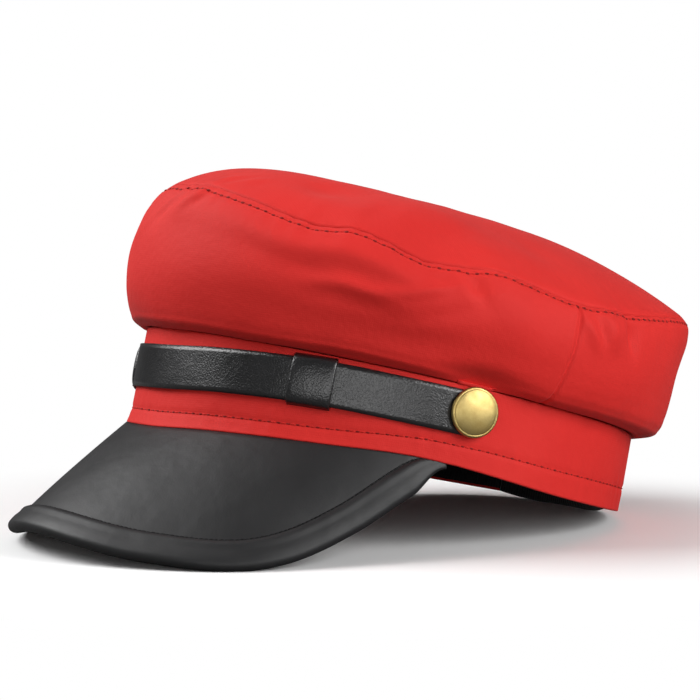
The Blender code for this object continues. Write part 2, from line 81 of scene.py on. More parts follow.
# %% Tables and waves
def smooth(table, at):
    """Columns of a table at the values `at` of its first column, with no corners."""
    table = np.array(table, float)
    x, y = table[:, 0], table[:, 1:]
    slopes = np.gradient(y, x, axis=0)
    if x[0] in (0, -180):
        slopes[0] = 0
    if x[-1] == 180:
        slopes[-1] = 0
    at = np.clip(at, x[0], x[-1])
    i = np.clip(np.searchsorted(x, at, side="right") - 1, 0, len(x) - 2)
    width = (x[i + 1] - x[i])[..., None]
    t = (at - x[i])[..., None] / width
    return (
        (1 + 2 * t) * (1 - t) ** 2 * y[i]
        + t * (1 - t) ** 2 * width * slopes[i]
        + t**2 * (3 - 2 * t) * y[i + 1]
        - t**2 * (1 - t) * width * slopes[i + 1]
    )


def wave(angle, front, side, back):
    """A value that runs smoothly round the head through its front, side and back ones."""
    mean = (front + back + 2 * side) / 4
    return (
        mean
        + (front - back) / 2 * np.cos(angle)
        + (front + back - 2 * side) / 4 * np.cos(2 * angle)
    )


def wrapped(degrees):
    """The same angle between -180 and 180 degrees."""
    return (degrees + 180) % 360 - 180


def from_front(angle):
    """The angle from the front in degrees, 0 to 180 on either side."""
    return np.abs(wrapped(np.degrees(angle)))


def ripple(angle, height, slowest, fastest, lean, seed, waves=9):
    """Soft irregular waves between about -1 and 1, the same on every run."""
    chance = np.random.default_rng(seed)
    total = np.zeros(np.broadcast(angle, height).shape)
    for _ in range(waves):
        turns = chance.integers(slowest, fastest + 1)
        rise = chance.uniform(-lean, lean)
        start = chance.uniform(0, 2 * math.pi)
        total += np.cos(turns * angle + rise * height + start)
    return total / math.sqrt(waves)


# %% [markdown]
# ## The head oval
# Every piece follows the same oval, the outside of the band: 199 mm long and 171 mm wide,
# which fits a head of about 56 cm.

# %% The oval
HALF_LENGTH = 0.199 / 2
HALF_WIDTH = 0.171 / 2
GAP = 0.0003


def oval(angle, out, height):
    """Points on the head oval, `out` beyond the band's outer face."""
    angle, out, height = np.broadcast_arrays(angle, out, height)
    return np.stack(
        [(HALF_WIDTH + out) * np.sin(angle), -(HALF_LENGTH + out) * np.cos(angle), height],
        axis=-1,
    )


def unit(vectors):
    """The same directions with length 1."""
    return vectors / np.linalg.norm(vectors, axis=-1, keepdims=True)


def evenly(count):
    """Angles once round, evenly spaced."""
    return np.radians(np.arange(count) * 360 / count)


def outward(angle):
    """The level direction that points straight out of the band."""
    across, along = np.sin(angle) / HALF_WIDTH, -np.cos(angle) / HALF_LENGTH
    return unit(np.stack([across, along, 0 * angle], axis=-1))


def degrees_for(length, at_degrees):
    """The angle round the band that a length along it takes at a place."""
    angle = math.radians(at_degrees)
    speed = math.hypot(HALF_WIDTH * math.cos(angle), HALF_LENGTH * math.sin(angle))
    return math.degrees(length / speed)


def normals(surface, u, v, step_u, step_v):
    """Unit normals of a surface given as a function of two values."""
    along = surface(u + step_u, v) - surface(u - step_u, v)
    up = surface(u, v + step_v) - surface(u, v - step_v)
    return unit(np.cross(along, up))


once_round = oval(np.linspace(0, 2 * math.pi, 721), 0, 0)
steps_round = np.linalg.norm(np.diff(once_round, axis=0), axis=-1)
print(f"the band is {1000 * steps_round.sum():.0f} mm round on its outer face")

# %% [markdown]
# ## From a grid of points to a piece
# Cloth and leather come as sheets, so nearly every piece is a grid of points: rows up the
# piece and columns along it. The grid may close round the head, and its rows may close into
# a loop when the piece is a strip with a thickness. The same helper lays out the UV map in
# millimetres, so that a thread or a grain can be given its real size later. Modelling by hand
# and unwrapping would give the same, but here the distances are already known.

# %% Grids into meshes
def piled(points, axis):
    """Distance in mm from the first point along an axis of a grid."""
    steps = np.linalg.norm(np.diff(points, axis=axis), axis=-1)
    start = np.zeros_like(np.take(steps, [0], axis=axis))
    return 1000 * np.concatenate([start, np.cumsum(steps, axis=axis)], axis=axis)


def sewn(name, grid, finishes, closed=False, loop=False, lowest=None, flat_uv=False):
    """An object made of a grid of points of the level cap, shape (rows, columns, 3)."""
    rows, columns = grid.shape[:2]
    points = to_table(grid)
    if lowest is not None:
        points[..., 2] = np.maximum(points[..., 2], lowest)
    wide = np.concatenate([grid, grid[:, :1]], axis=1) if closed else grid
    tall = np.concatenate([wide, wide[:1]], axis=0) if loop else wide
    if flat_uv:
        u, v = 1000 * tall[..., 0], 1000 * tall[..., 1]
    else:
        u = np.broadcast_to(piled(tall, 1)[len(tall) // 2], tall.shape[:2])
        v = piled(tall, 0)
    row, column = np.mgrid[0 : len(tall) - 1, 0 : wide.shape[1] - 1].reshape(2, -1, 1)
    row, column = row + [0, 0, 1, 1], column + [0, 1, 1, 0]
    faces = (row % rows * columns + column % columns).tolist()
    spots = np.stack([row, column], axis=-1).reshape(-1, 2).tolist()
    if loop and not closed:
        for end in (0, columns - 1):
            faces.append(list(range(end, rows * columns, columns)))
            spots.extend([place, end] for place in range(rows))
    mesh = bpy.data.meshes.new(name)
    mesh.from_pydata(points.reshape(-1, 3).tolist(), [], faces)
    spots = tuple(np.array(spots).T)
    layout = np.stack([u[spots], v[spots]], axis=-1)
    mesh.uv_layers.new(name="cut").data.foreach_set("uv", layout.ravel())
    return shown(name, mesh, finishes, turn_out=loop)


@contextmanager
def opened(mesh):
    """A mesh opened for changes to its faces, and written back after them."""
    form = bmesh.new()
    form.from_mesh(mesh)
    yield form
    form.to_mesh(mesh)
    form.free()


def shown(name, mesh, finishes, turn_out):
    """Puts a mesh in the scene, smooth, with its finishes and its faces turned outward."""
    if turn_out:
        with opened(mesh) as form:
            bmesh.ops.recalc_face_normals(form, faces=form.faces)
    mesh.shade_smooth()
    for finish in finishes:
        mesh.materials.append(finish)
    made = bpy.data.objects.new(name, mesh)
    bpy.context.collection.objects.link(made)
    return made


def fitted(made, slot, *solids):
    """Ties a piece to the cap and, if it stands for solids, hides those."""
    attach(made, "root")
    if solids:
        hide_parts(*solids)
    count = len(made.data.polygons)
    print(f"{made.name}: {count} faces, stands for {', '.join(solids) or 'nothing'}")
    return made


# %% [markdown]
# ## Colour and nodes
# A colour given as a hex code is an sRGB value, but a renderer adds light up in linear values. One
# function turns a hex code into linear. One more adds a node with its settings and links, and
# a few small ones add the textures that more than one material needs, so that each material
# below reads as a short list. All textures are laid out in mm.

# %% Colour and node helpers
BAND_OF_WAVE = 2 * math.pi / 20  # the wave texture's scale at one rib to the unit


def linear(code):
    """Linear red, green, blue and alpha of an sRGB hex colour."""
    parts = [int(code[i : i + 2], 16) / 255 for i in (1, 3, 5)]
    return (*(c / 12.92 if c <= 0.04045 else ((c + 0.055) / 1.055) ** 2.4 for c in parts), 1)


def add(tree, kind, inputs=None, **settings):
    """Adds a node, with settings, and with a value or a link for each named input."""
    node = tree.nodes.new(kind)
    for name, value in settings.items():
        setattr(node, name, value)
    for socket, value in (inputs or {}).items():
        if isinstance(value, bpy.types.NodeSocket):
            tree.links.new(value, node.inputs[socket])
        else:
            node.inputs[socket].default_value = value
    return node


def finish(name, **sockets):
    """A new material, its node tree and its shader, with values on the shader's sockets."""
    made = bpy.data.materials.new(name)
    made.use_nodes = True
    shader = made.node_tree.nodes["Principled BSDF"]
    for socket, value in sockets.items():
        shader.inputs[socket.replace("_", " ")].default_value = value
    return made, made.node_tree, shader


def joined(tree, node, **outputs):
    """Links outputs to sockets of a node."""
    for socket, output in outputs.items():
        tree.links.new(output, node.inputs[socket.replace("_", " ")])


def in_mm(tree):
    """A place on the piece in mm, the same in every direction."""
    place = add(tree, "ShaderNodeTexCoord").outputs["Object"]
    scaled = add(tree, "ShaderNodeVectorMath", {0: place, "Scale": 1000.0}, operation="SCALE")
    return scaled.outputs["Vector"]


def on_cut(tree):
    """A place on the flat cut of the cloth in mm, along its threads."""
    return add(tree, "ShaderNodeUVMap", uv_map="cut").outputs["UV"]


def noise(tree, where, per_mm, detail):
    """Soft noise, with so many waves to the mm."""
    inputs = {"Vector": where, "Scale": per_mm, "Detail": detail}
    return add(tree, "ShaderNodeTexNoise", inputs).outputs["Fac"]


def bands(tree, cut, mm_apart, way, **inputs):
    """Ribs at a distance in mm, across one direction of the cut."""
    inputs = {"Vector": cut, "Scale": BAND_OF_WAVE / mm_apart, **inputs}
    return add(tree, "ShaderNodeTexWave", inputs, bands_direction=way).outputs["Fac"]


def ranged(tree, value, start=(0.0, 1.0), end=(0.0, 1.0), **settings):
    """A value carried from one range to another."""
    limits = {"From Min": start[0], "From Max": start[1], "To Min": end[0], "To Max": end[1]}
    node = add(tree, "ShaderNodeMapRange", {"Value": value, **limits}, **settings)
    return node.outputs["Result"]


def relief(tree, height, strength, distance, over=None):
    """A bump up to a distance in metres deep, over another bump if one is given."""
    inputs = {"Height": height, "Strength": strength, "Distance": distance}
    if over:
        inputs["Normal"] = over
    return add(tree, "ShaderNodeBump", inputs).outputs["Normal"]


def blotches(tree, where, size_mm, dark, light, detail=3.0, contrast=0.25):
    """Two hex colours mixed in soft blotches of about a size, in mm."""
    spots = noise(tree, where, 1 / size_mm, detail)
    spread = ranged(tree, spots, start=(0.5 - contrast, 0.5 + contrast))
    inputs = {"Factor": spread, "A": linear(dark), "B": linear(light)}
    mix = add(tree, "ShaderNodeMix", inputs, data_type="RGBA")
    return mix.outputs["Result"], spread


# %% [markdown]
# ## Red cotton
# The cap's cloth is a plain-woven cotton poplin, piece-dyed red and calendered, so it is matt
# with a faint bloom of loose fibres. Real poplin has about 30 threads to the centimetre, far
# too fine for this picture, so the weave is drawn at 0.8 mm and kept shallow. Dye takes a
# little unevenly, which shows as soft blotches of a few centimetres. Two wave textures at
# right angles make the weave. An image of cloth would be an alternative, but it would repeat.

# %% Red cotton
THREAD = 0.8
DYE_BLOTCH = 38
SLUBS_PER_MM = 0.35  # thicker threads and soft creases, about 3 mm apart


def cotton(name, dark, light, weave=1.0):
    """Woven, dyed and pressed cotton. It gives the eye a matt face with a soft sheen."""
    made, tree, shader = finish(
        name,
        Roughness=0.68,
        Sheen_Weight=0.03,
        Sheen_Roughness=0.45,
        Specular_IOR_Level=0.20,
    )
    cut = on_cut(tree)
    colour, _ = blotches(tree, in_mm(tree), DYE_BLOTCH, dark, light)
    warp, weft = (bands(tree, cut, THREAD, way, Distortion=0.6, Detail=1.0) for way in "XY")
    woven = add(tree, "ShaderNodeMath", {0: warp, 1: weft}, operation="MULTIPLY")
    fine = relief(tree, woven.outputs["Value"], 0.10 * weave, 0.0003)
    slubs = noise(tree, cut, SLUBS_PER_MM, 4.0)
    joined(tree, shader, Base_Color=colour, Normal=relief(tree, slubs, 0.16, 0.0012, fine))
    return made


red_poplin = cotton("woven_red_cotton_poplin", "#CE2622", "#D62B26")
red_thread = cotton("twisted_red_cotton_thread", "#BC1E18", "#C4221A", weave=0.4)
black_thread = cotton("twisted_black_thread", "#09090A", "#0F0F10", weave=0.4)
# The needle holes are painted shade: a darker red that stands for the shadow in each hole.
needle_hole_shade = cotton("painted_shade_in_needle_holes", "#78100C", "#82130E", weave=0.0)
print("cotton:", red_poplin.name, red_thread.name, black_thread.name, needle_hole_shade.name)

# %% [markdown]
# ## Black leather and webbing
# The peak is covered in polyurethane-coated leather: a smooth, evenly matt skin whose faint
# pebbling comes from the release paper it was cast on, about 0.7 mm across. The strap is the
# same family but embossed with a finer, sharper grain and polished a little, so it catches
# the light more. The lining and the size adjuster are black woven tape with ribs 1.2 mm apart.

# %% Coated leather
SHADE_BLOTCH = 26
CREASES_PER_MM = 0.09  # soft waves of the skin, about 11 mm apart


def leather(name, colours, grain_mm, depth, roughness, shine=0.5, coat=0.0):
    """Coated leather. It gives the eye a black that turns grey in soft, broad highlights."""
    made, tree, shader = finish(
        name,
        Roughness=roughness,
        Specular_IOR_Level=shine,
        Coat_Weight=coat,
        Coat_Roughness=0.32,
    )
    place = in_mm(tree)
    colour, tone = blotches(tree, place, SHADE_BLOTCH, *colours)
    rough = ranged(tree, tone, end=(roughness - 0.05, roughness + 0.06))
    pebbles = add(
        tree,
        "ShaderNodeTexVoronoi",
        {"Vector": place, "Scale": 1 / grain_mm, "Randomness": 1.0},
        feature="SMOOTH_F1",
    )
    grain = relief(tree, pebbles.outputs["Distance"], depth, 0.0002)
    creased = relief(tree, noise(tree, place, CREASES_PER_MM, 2.0), 0.25, 0.0015, grain)
    joined(tree, shader, Base_Color=colour, Roughness=rough, Normal=creased)
    return made


peak_leather = leather(
    "cast_polyurethane_leather", ("#1C1C1D", "#222223"), 0.7, 0.12, 0.50, shine=0.39
)
strap_leather = leather(
    "embossed_strap_leather", ("#101011", "#171719"), 0.55, 0.50, 0.31, shine=0.74, coat=0.08
)
cut_edge = leather("cut_leather_edge", ("#3A3836", "#4A4745"), 0.5, 0.30, 0.60)


def webbing(name, dark, light, rib_mm):
    """Woven tape. It gives the eye a deep matt black with fine ribs across it."""
    made, tree, shader = finish(name, Roughness=0.88, Sheen_Weight=0.15, Sheen_Roughness=0.5)
    colour, _ = blotches(tree, in_mm(tree), 6, dark, light)
    ribs = bands(tree, on_cut(tree), rib_mm, "X", Distortion=0.8)
    joined(tree, shader, Base_Color=colour, Normal=relief(tree, ribs, 0.5, 0.0004))
    return made


black_webbing = webbing("woven_black_tape", "#0E0E10", "#161618", 1.2)
print("blacks:", peak_leather.name, strap_leather.name, cut_edge.name, black_webbing.name)

# %% [markdown]
# ## Antique brass
# The buttons are stamped brass, plated and then toned with an acid dip, which leaves the
# raised parts bright and the rest olive brown. Their polish is satin: fine scratches blur the
# reflection. A metal keeps the shader's default IOR, and its colour comes from its base.

# %% Brass
SCRATCHES_PER_MM = 2.5  # the marks of the polishing wheel, 0.4 mm apart


def toned_brass(name):
    """Stamped, toned and burnished brass. It gives the eye a soft, warm, mottled mirror."""
    made, tree, shader = finish(name, Metallic=1.0, Roughness=0.34)
    place = in_mm(tree)
    colour, tone = blotches(tree, place, 5, "#AD955A", "#C8B274", detail=5.0, contrast=0.2)
    rough = ranged(tree, tone, end=(0.50, 0.34))
    scratches = relief(tree, noise(tree, place, SCRATCHES_PER_MM, 6.0), 0.12, 0.0002)
    joined(tree, shader, Base_Color=colour, Roughness=rough, Normal=scratches)
    return made


brass = toned_brass("stamped_antique_brass")
print("metal:", brass.name)

# %% [markdown]
# ## The crown's patterns
# The crown is a wide top panel sewn to two side panels, which bulge out over the band. Its
# shape comes from two tables. One gives the height of the top seam round the head, which is
# lower where the cloth slouches. The other gives the side panels in section: how far they
# stand out at each height, at the front, side and back. A cloth simulation could inflate the
# patterns instead, but it would not bring the folds to where this cap has them, so the form
# is set by tables and its folds by a list.

# %% Measures of the band and crown
BAND_HEIGHTS = (0.0366, 0.0342, 0.0300)
BAND_WALL = 0.0018
BAND_FLARE = 0.0015
FLARE_HEIGHT = 0.16
FLARE_POWER = 1.5
RIM_RISE = 0.0064
OVERHANG = 0.0125
SEAM_HEIGHT = 0.0910
CROWN_HEIGHT = 0.1020
TOP_FALL = (4.8, 3.0, 2.45)
EDGE_POWER = 2.2
WAVE_POWER = 9.0
CALM_TURNS = (-20, -10, 0, 10, 20)
BUTTON_ANGLE = 77.0
BUTTON_DIAMETER = 0.0186
BUTTON_PUSH = 0.80
BUTTON_PUSH_HEIGHT = 0.10
BUTTON_PUSH_WIDTH = 0.75

RIM = (
    # angle, rise as a share of RIM_RISE
    (-180, 0.28), (-150, 0.20), (-121, 0.18), (-102, 0.30), (-80, 0.70), (-69, 0.85),
    (-52, 0.50), (-36, 0.12), (-20, 0.00), (0, 0.02), (20, 0.35), (45, 0.72),
    (69, 1.00), (80, 0.80), (102, 0.33), (121, 0.18), (150, 0.20), (180, 0.28),
)
SEAM = (
    # angle, height as a share of SEAM_HEIGHT
    (-180, 0.848), (-135, 0.835), (-94, 0.825), (-60, 0.880), (-28, 0.975), (-8, 0.995),
    (8, 0.980), (20, 0.947), (30, 0.908), (37, 0.890), (45, 0.906), (52, 0.878),
    (60, 0.829), (68, 0.835), (75, 0.849), (84, 0.824), (94, 0.794), (106, 0.803),
    (128, 0.845), (145, 0.866), (180, 0.848),
)
WALL_SECTION = (
    # height, front, side, back, as shares of OVERHANG
    (-0.004, 0.16, 0.18, 0.22),
    (0.030, 0.45, 0.45, 0.66),
    (0.080, 0.60, 0.62, 0.82),
    (0.190, 0.81, 0.82, 0.92),
    (0.330, 0.95, 0.95, 1.00),
    (0.500, 0.99, 1.02, 1.09),
    (0.680, 0.90, 1.02, 1.18),
    (0.850, 0.68, 0.90, 1.25),
    (0.940, 0.45, 0.76, 1.21),
    (1.000, 0.20, 0.58, 1.09),
)


# %% The crown with no folds
def rim(angle):
    return RIM_RISE * smooth(RIM, wrapped(np.degrees(angle)))[..., 0]


def band_top(angle):
    return wave(angle, *BAND_HEIGHTS)


def seam_height(angle):
    return SEAM_HEIGHT * smooth(SEAM, wrapped(np.degrees(angle)))[..., 0]


def flare(angle):
    """How far the peak pushes the band's lower edge out."""
    return BAND_FLARE * np.cos(np.radians(np.minimum(from_front(angle), 90))) ** 2


def crown_wall(angle, height):
    """The side panels with no folds: height 0 at the band to 1 at the top seam."""
    out = smooth(WALL_SECTION, height) * OVERHANG
    out = wave(angle, out[..., 0], out[..., 1], out[..., 2])
    half = degrees_for(BUTTON_DIAMETER * BUTTON_PUSH_WIDTH, BUTTON_ANGLE)
    aside = (from_front(angle) - BUTTON_ANGLE) / half
    out = out * (1 - BUTTON_PUSH * np.exp(-(aside**2) - (height / BUTTON_PUSH_HEIGHT) ** 2))
    low, high = band_top(angle), seam_height(angle)
    return oval(angle, out, low + height * (high - low))


SEAM_MEAN = seam_height(evenly(64)).mean()


def crown_roof(angle, spread):
    """The top panel with no folds: spread 0 in its middle to 1 at the top seam."""
    edge = crown_wall(angle, np.ones_like(spread))
    front, back = WALL_SECTION[-1][1] * OVERHANG, WALL_SECTION[-1][3] * OVERHANG
    middle = np.array([0, (back - front) / 2, 0])
    roof = middle + (edge - middle) * spread[..., None]
    fall = (CROWN_HEIGHT - SEAM_MEAN) * spread ** wave(angle, *TOP_FALL)
    # The seam's long rise and fall reaches far in, and its short waves stay near the edge.
    calm = np.mean([seam_height(angle + turn) for turn in np.radians(CALM_TURNS)], axis=0)
    roof[..., 2] = CROWN_HEIGHT - fall + (calm - SEAM_MEAN) * spread**EDGE_POWER
    roof[..., 2] += (edge[..., 2] - calm) * spread**WAVE_POWER
    return roof


def crown_base(angle, height):
    """The crown with no folds: height 0 to 1 up the sides, 1 to 2 over the top."""
    angle, height = np.broadcast_arrays(angle, height)
    wall = crown_wall(angle, np.minimum(height, 1))
    roof = crown_roof(angle, np.clip(2 - height, 0, 1))
    return np.where((height > 1)[..., None], roof, wall)


print("top seam: mean height", round(1000 * float(SEAM_MEAN), 1), "mm")

# %% [markdown]
# ## Folds, seams and puckers
# Soft cotton shows how it was sewn and handled. It has broad dents where the crown slouches,
# sharper wrinkles that run into the top seam, small puckers where the thread pulls the cloth
# along a seam, and a groove where two panels meet. A sculpting brush could draw them. Here
# each is a row in a table: where it is, how wide, how it leans and how deep, so that the same
# fold can be moved by changing one number.

# %% Lists of folds
FOLD_DEPTH = 0.0022
FOLDS = (
    # angle, height, half_angle, half_height, slant, depth
    (38, 0.62, 17, 0.17, -10, 0.55),
    (44, 0.80, 22, 0.09, -25, -0.55),
    (68, 0.86, 6, 0.12, 12, 0.75),
    (-8, 0.86, 4, 0.16, 16, 0.60),
    (3, 0.88, 4, 0.14, 18, -0.45),
    (112, 0.80, 3.5, 0.17, 0, 0.75),
    (103, 0.80, 4, 0.16, 0, -0.45),
    (150, 0.60, 16, 0.20, 14, 0.55),
    (-40, 0.70, 16, 0.16, 12, 0.70),
    (-75, 0.55, 14, 0.20, -14, 0.60),
    (-112, 0.78, 5, 0.17, 0, 0.70),
    (-150, 0.64, 18, 0.18, -10, 0.50),
    (30, 1.24, 12, 0.12, 22, 0.90),
    (58, 1.28, 14, 0.12, -18, -0.60),
    (84, 1.34, 16, 0.14, 16, 0.50),
    (-55, 1.30, 20, 0.16, 12, 0.25),
    (170, 1.32, 22, 0.16, 10, 0.35),
)
WRINKLES = (
    # angle, height, half_angle, half_height, slant, depth in mm, below 0 for a ridge
    (56, 0.23, 30, 0.22, 0, 3.6),
    (47, 0.55, 7, 0.05, 0, -1.25),
    (60, 0.7, 3.2, 0.16, 48, -1.2),
    (46, 0.43, 10, 0.07, 0, 0.7),
    (66, 0.56, 5, 0.15, 48, 0.7),
    (50, 0.68, 9, 0.06, 10, 0.35),
    (24, 0.68, 5, 0.08, -20, 0.3),
    (37, 0.64, 4, 0.07, -20, 0.3),
    (31, 0.74, 4, 0.07, -20, -0.35),
    (-7, 0.84, 1.5, 0.12, 28, -1.1),
    (-4, 0.84, 1.4, 0.12, 28, 0.75),
    (-12, 0.74, 1.8, 0.1, 28, -0.5),
    (3, 0.89, 1.5, 0.08, 28, -0.8),
    (6, 0.89, 1.4, 0.08, 28, 0.6),
    (68, 0.85, 1.8, 0.11, -12, -0.8),
    (71.5, 0.82, 1.7, 0.13, -12, 1.35),
    (80, 0.62, 4.5, 0.22, 0, -0.55),
    (87, 0.7, 2.5, 0.2, 4, 0.35),
    (97, 0.76, 1.7, 0.16, -14, -1.5),
    (99.8, 0.8, 1.3, 0.12, -8, 1.25),
    (103, 0.8, 1.8, 0.16, -4, -1.05),
    (109.5, 0.79, 1.6, 0.16, -6, 2.1),
    (113, 0.78, 2.2, 0.16, 0, -0.9),
    (122, 0.7, 3, 0.2, 4, 0.35),
    (140, 0.82, 3, 0.15, -8, 0.45),
    (-25, 0.84, 2.5, 0.14, 24, 0.45),
    (-34, 0.8, 3, 0.14, 20, -0.4),
    (-50, 0.3, 24, 0.2, 0, 1.2),
    (-58, 0.6, 3, 0.15, -40, -0.6),
    (-64, 0.52, 4, 0.15, -40, 0.55),
    (-88, 0.84, 2, 0.15, -8, 0.6),
    (-100, 0.82, 2, 0.16, 4, 0.5),
    (-104, 0.82, 2, 0.16, 4, -0.45),
    (-125, 0.8, 3, 0.16, 6, 0.45),
    (-160, 0.8, 3, 0.16, -6, 0.5),
    (5, 1.06, 2, 0.05, 40, -0.5),
    (8, 1.07, 1.6, 0.05, 40, 0.35),
    (12, 1.09, 2.2, 0.05, 40, -0.5),
    (28, 1.22, 7, 0.08, 0, 0.9),
    (40, 1.1, 6, 0.06, 0, -0.5),
    (47, 1.13, 3, 0.06, 10, 0.45),
    (54, 1.16, 7, 0.07, 0, -0.6),
    (65, 1.14, 3.5, 0.06, 10, 0.45),
    (73, 1.12, 5, 0.05, 0, -0.55),
    (92, 1.24, 7, 0.09, 0, 0.8),
    (89, 1.035, 5, 0.018, 0, -0.3),
)
SIDE_SEAM = (94.4, 92.8)
SEAM_CREASE = (0.00025, 0.00050, 0.00050)
SEAM_CREASE_WIDTH = 0.0012
STITCH_DROP = 0.0022
STITCH_CHANNEL = 0.0003
STITCH_CHANNEL_WIDTH = 0.0008
SIDE_SEAM_GROOVE = 0.0009
SIDE_SEAM_WIDTH = 0.0009
SIDE_SEAM_LIP = 0.00015
SIDE_SEAM_LIP_AWAY = 0.0028
SIDE_SEAM_LIP_WIDTH = 0.0018
PUCKER = 0.00014
PUCKER_REACH = 0.0075
TOP_PUCKER = 0.4
FOOT_REACH = 0.18
FOOT_START = 0.05
SAG = 0.00022
WALL_TALL = 0.060
TOP_WIDE = 0.092
SEAM_WAVES = (55, 100, 6, 3)  # slowest and fastest round the head, lean, seed
FOOT_WAVES = (18, 45, 5, 5)
SAG_WAVES = (3, 11, 2.2, 11)


def dents(table, angle, height):
    """Depth of a list of dents and ridges at a place on the crown."""
    depth = np.zeros(np.broadcast(angle, height).shape)
    for at, level, half_angle, half_height, slant, share in table:
        up = height - level
        turn = wrapped(np.degrees(angle) - at - slant * up)
        depth += share * np.exp(-((turn / half_angle) ** 2) - (up / half_height) ** 2)
    return depth


print(len(FOLDS), "folds and", len(WRINKLES), "wrinkles")

# %% Depth of everything that was sewn or folded
def bell(x, width):
    return np.exp(-((x / width) ** 2))


def crown_depth(angle, height):
    """How far the cloth lies inside the smooth crown."""
    angle, height = np.broadcast_arrays(angle, height)
    on_wall = height <= 1
    below = np.where(on_wall, (1 - height) * WALL_TALL, 1.0)
    beyond = np.abs(1 - height) * np.where(on_wall, WALL_TALL, TOP_WIDE)
    depth = FOLD_DEPTH * dents(FOLDS, angle, height) + 0.001 * dents(WRINKLES, angle, height)
    # the top seam, its row of stitches and its puckers
    depth += wave(angle, *SEAM_CREASE) * bell(beyond, SEAM_CREASE_WIDTH)
    depth += STITCH_CHANNEL * bell(below - STITCH_DROP, STITCH_CHANNEL_WIDTH)
    pull = ripple(angle, height, *SEAM_WAVES) * np.exp(-beyond / PUCKER_REACH)
    depth += PUCKER * pull * np.where(on_wall, 1.0, TOP_PUCKER)
    # the puckers where the crown is gathered into the band
    foot = ripple(angle, height, *FOOT_WAVES) * np.exp(-np.abs(height) / FOOT_REACH)
    depth += PUCKER * foot * np.clip(height / FOOT_START, 0, 1)
    # the sag, which is less on the top panel and none where its columns meet
    middle = np.clip((2 - height) / 0.3, 0, 1) ** 2
    sag = SAG * ripple(angle, height * 6, *SAG_WAVES) * middle
    depth += sag * np.where(on_wall, 1.0, np.clip(2 - 1.3 * height, 0.2, 1.0))
    # the side seams, each with a soft lip in front of its groove
    top, foot_angle = SIDE_SEAM
    seam_at = top + (foot_angle - top) * (1 - np.clip(height, 0, 1))
    aside = np.radians(from_front(angle) - seam_at) * (HALF_LENGTH + OVERHANG)
    on_side = np.clip((1.0 - height) * WALL_TALL / 0.001, 0, 1)
    depth += SIDE_SEAM_GROOVE * bell(aside, SIDE_SEAM_WIDTH) * on_side
    depth -= SIDE_SEAM_LIP * bell(aside + SIDE_SEAM_LIP_AWAY, SIDE_SEAM_LIP_WIDTH) * on_side
    return depth


STEP = 0.02  # the step in radians and in height that a face's slope is measured over


def crown_cloth(angle, height):
    """The outer face of the crown as it was sewn and handled."""
    base = crown_base(angle, height)
    normal = normals(crown_base, angle, height, STEP, STEP)
    return base - normal * crown_depth(angle, height)[..., None]


# %% [markdown]
# ## Side panels
# The two side panels are one ring of cloth in the mesh, because they are sewn edge to edge.
# Columns crowd together at the two side seams, whose groove is less than a millimetre wide.
# Solidify then gives the cloth its thickness, so the cap is hollow and right from below too.

# %% Sew the side panels
CLOTH_THICKNESS = 0.0012


def crowded(low, high, count, places, width, extra):
    """Values from low to high that lie closer together near the given places."""
    fine = np.linspace(low, high, 4000)
    weight = 1 + sum(extra * np.exp(-(((fine - place) / width) ** 2)) for place in places)
    run = np.concatenate([[0], np.cumsum((weight[1:] + weight[:-1]) / 2)])
    return np.interp(np.linspace(0, run[-1], count), run, fine)


def closer_at_ends(low, high, count, shrink):
    """Values from low to high whose steps shrink by a share towards both ends."""
    share = np.linspace(0, 1, count)
    share -= shrink * np.sin(2 * math.pi * share) / (2 * math.pi)
    return low + (high - low) * share


def thickened(made):
    """Gives a sheet of cloth its thickness, on its inner side."""
    cloth = made.modifiers.new("cloth_thickness", "SOLIDIFY")
    cloth.thickness = CLOTH_THICKNESS
    cloth.offset = -1
    return made


round_head = np.radians(crowded(-180, 180, 541, places=(-94, 94), width=3.0, extra=2.5)[:-1])[None]
up_wall = closer_at_ends(WALL_SECTION[0][0], 1.0, 64, shrink=0.7)[:, None]
turned_in = [oval(round_head, out, band_top(round_head) + GAP) for out in (-0.001, GAP)]
wall_grid = np.concatenate([*turned_in, crown_cloth(round_head, up_wall)])
side_panels = thickened(sewn("crown_side_panels", wall_grid, [red_poplin], closed=True))
fitted(side_panels, "red_cotton", "crown_front", "crown_back")

# %% [markdown]
# ## Top panel
# The top panel is cut as an oval and sewn in all round. Its grid is rings that shrink to a
# point in the middle. A polar grid is wasteful there, but it keeps clean rows along the seam,
# where the puckers are.

# %% Sew the top panel
TOP_ROWS = 58
TOP_COLUMNS = 480

round_top = evenly(TOP_COLUMNS)[None]
inward = 1 + closer_at_ends(0.0012, 0.995, TOP_ROWS, shrink=0.3)[:, None]
top_panel = sewn(
    "crown_top_panel", crown_cloth(round_top, inward), [red_poplin], closed=True, flat_uv=True
)
with opened(top_panel.data) as form:
    layout = form.loops.layers.uv.active
    form.verts.ensure_lookup_table()
    innermost = range((TOP_ROWS - 1) * TOP_COLUMNS, TOP_ROWS * TOP_COLUMNS)
    lid = form.faces.new([form.verts[i] for i in innermost])
    lid.smooth = True
    for corner in lid.loops:
        corner[layout].uv = 1000 * corner.vert.co.xy
fitted(thickened(top_panel), "red_cotton", "crown_top")
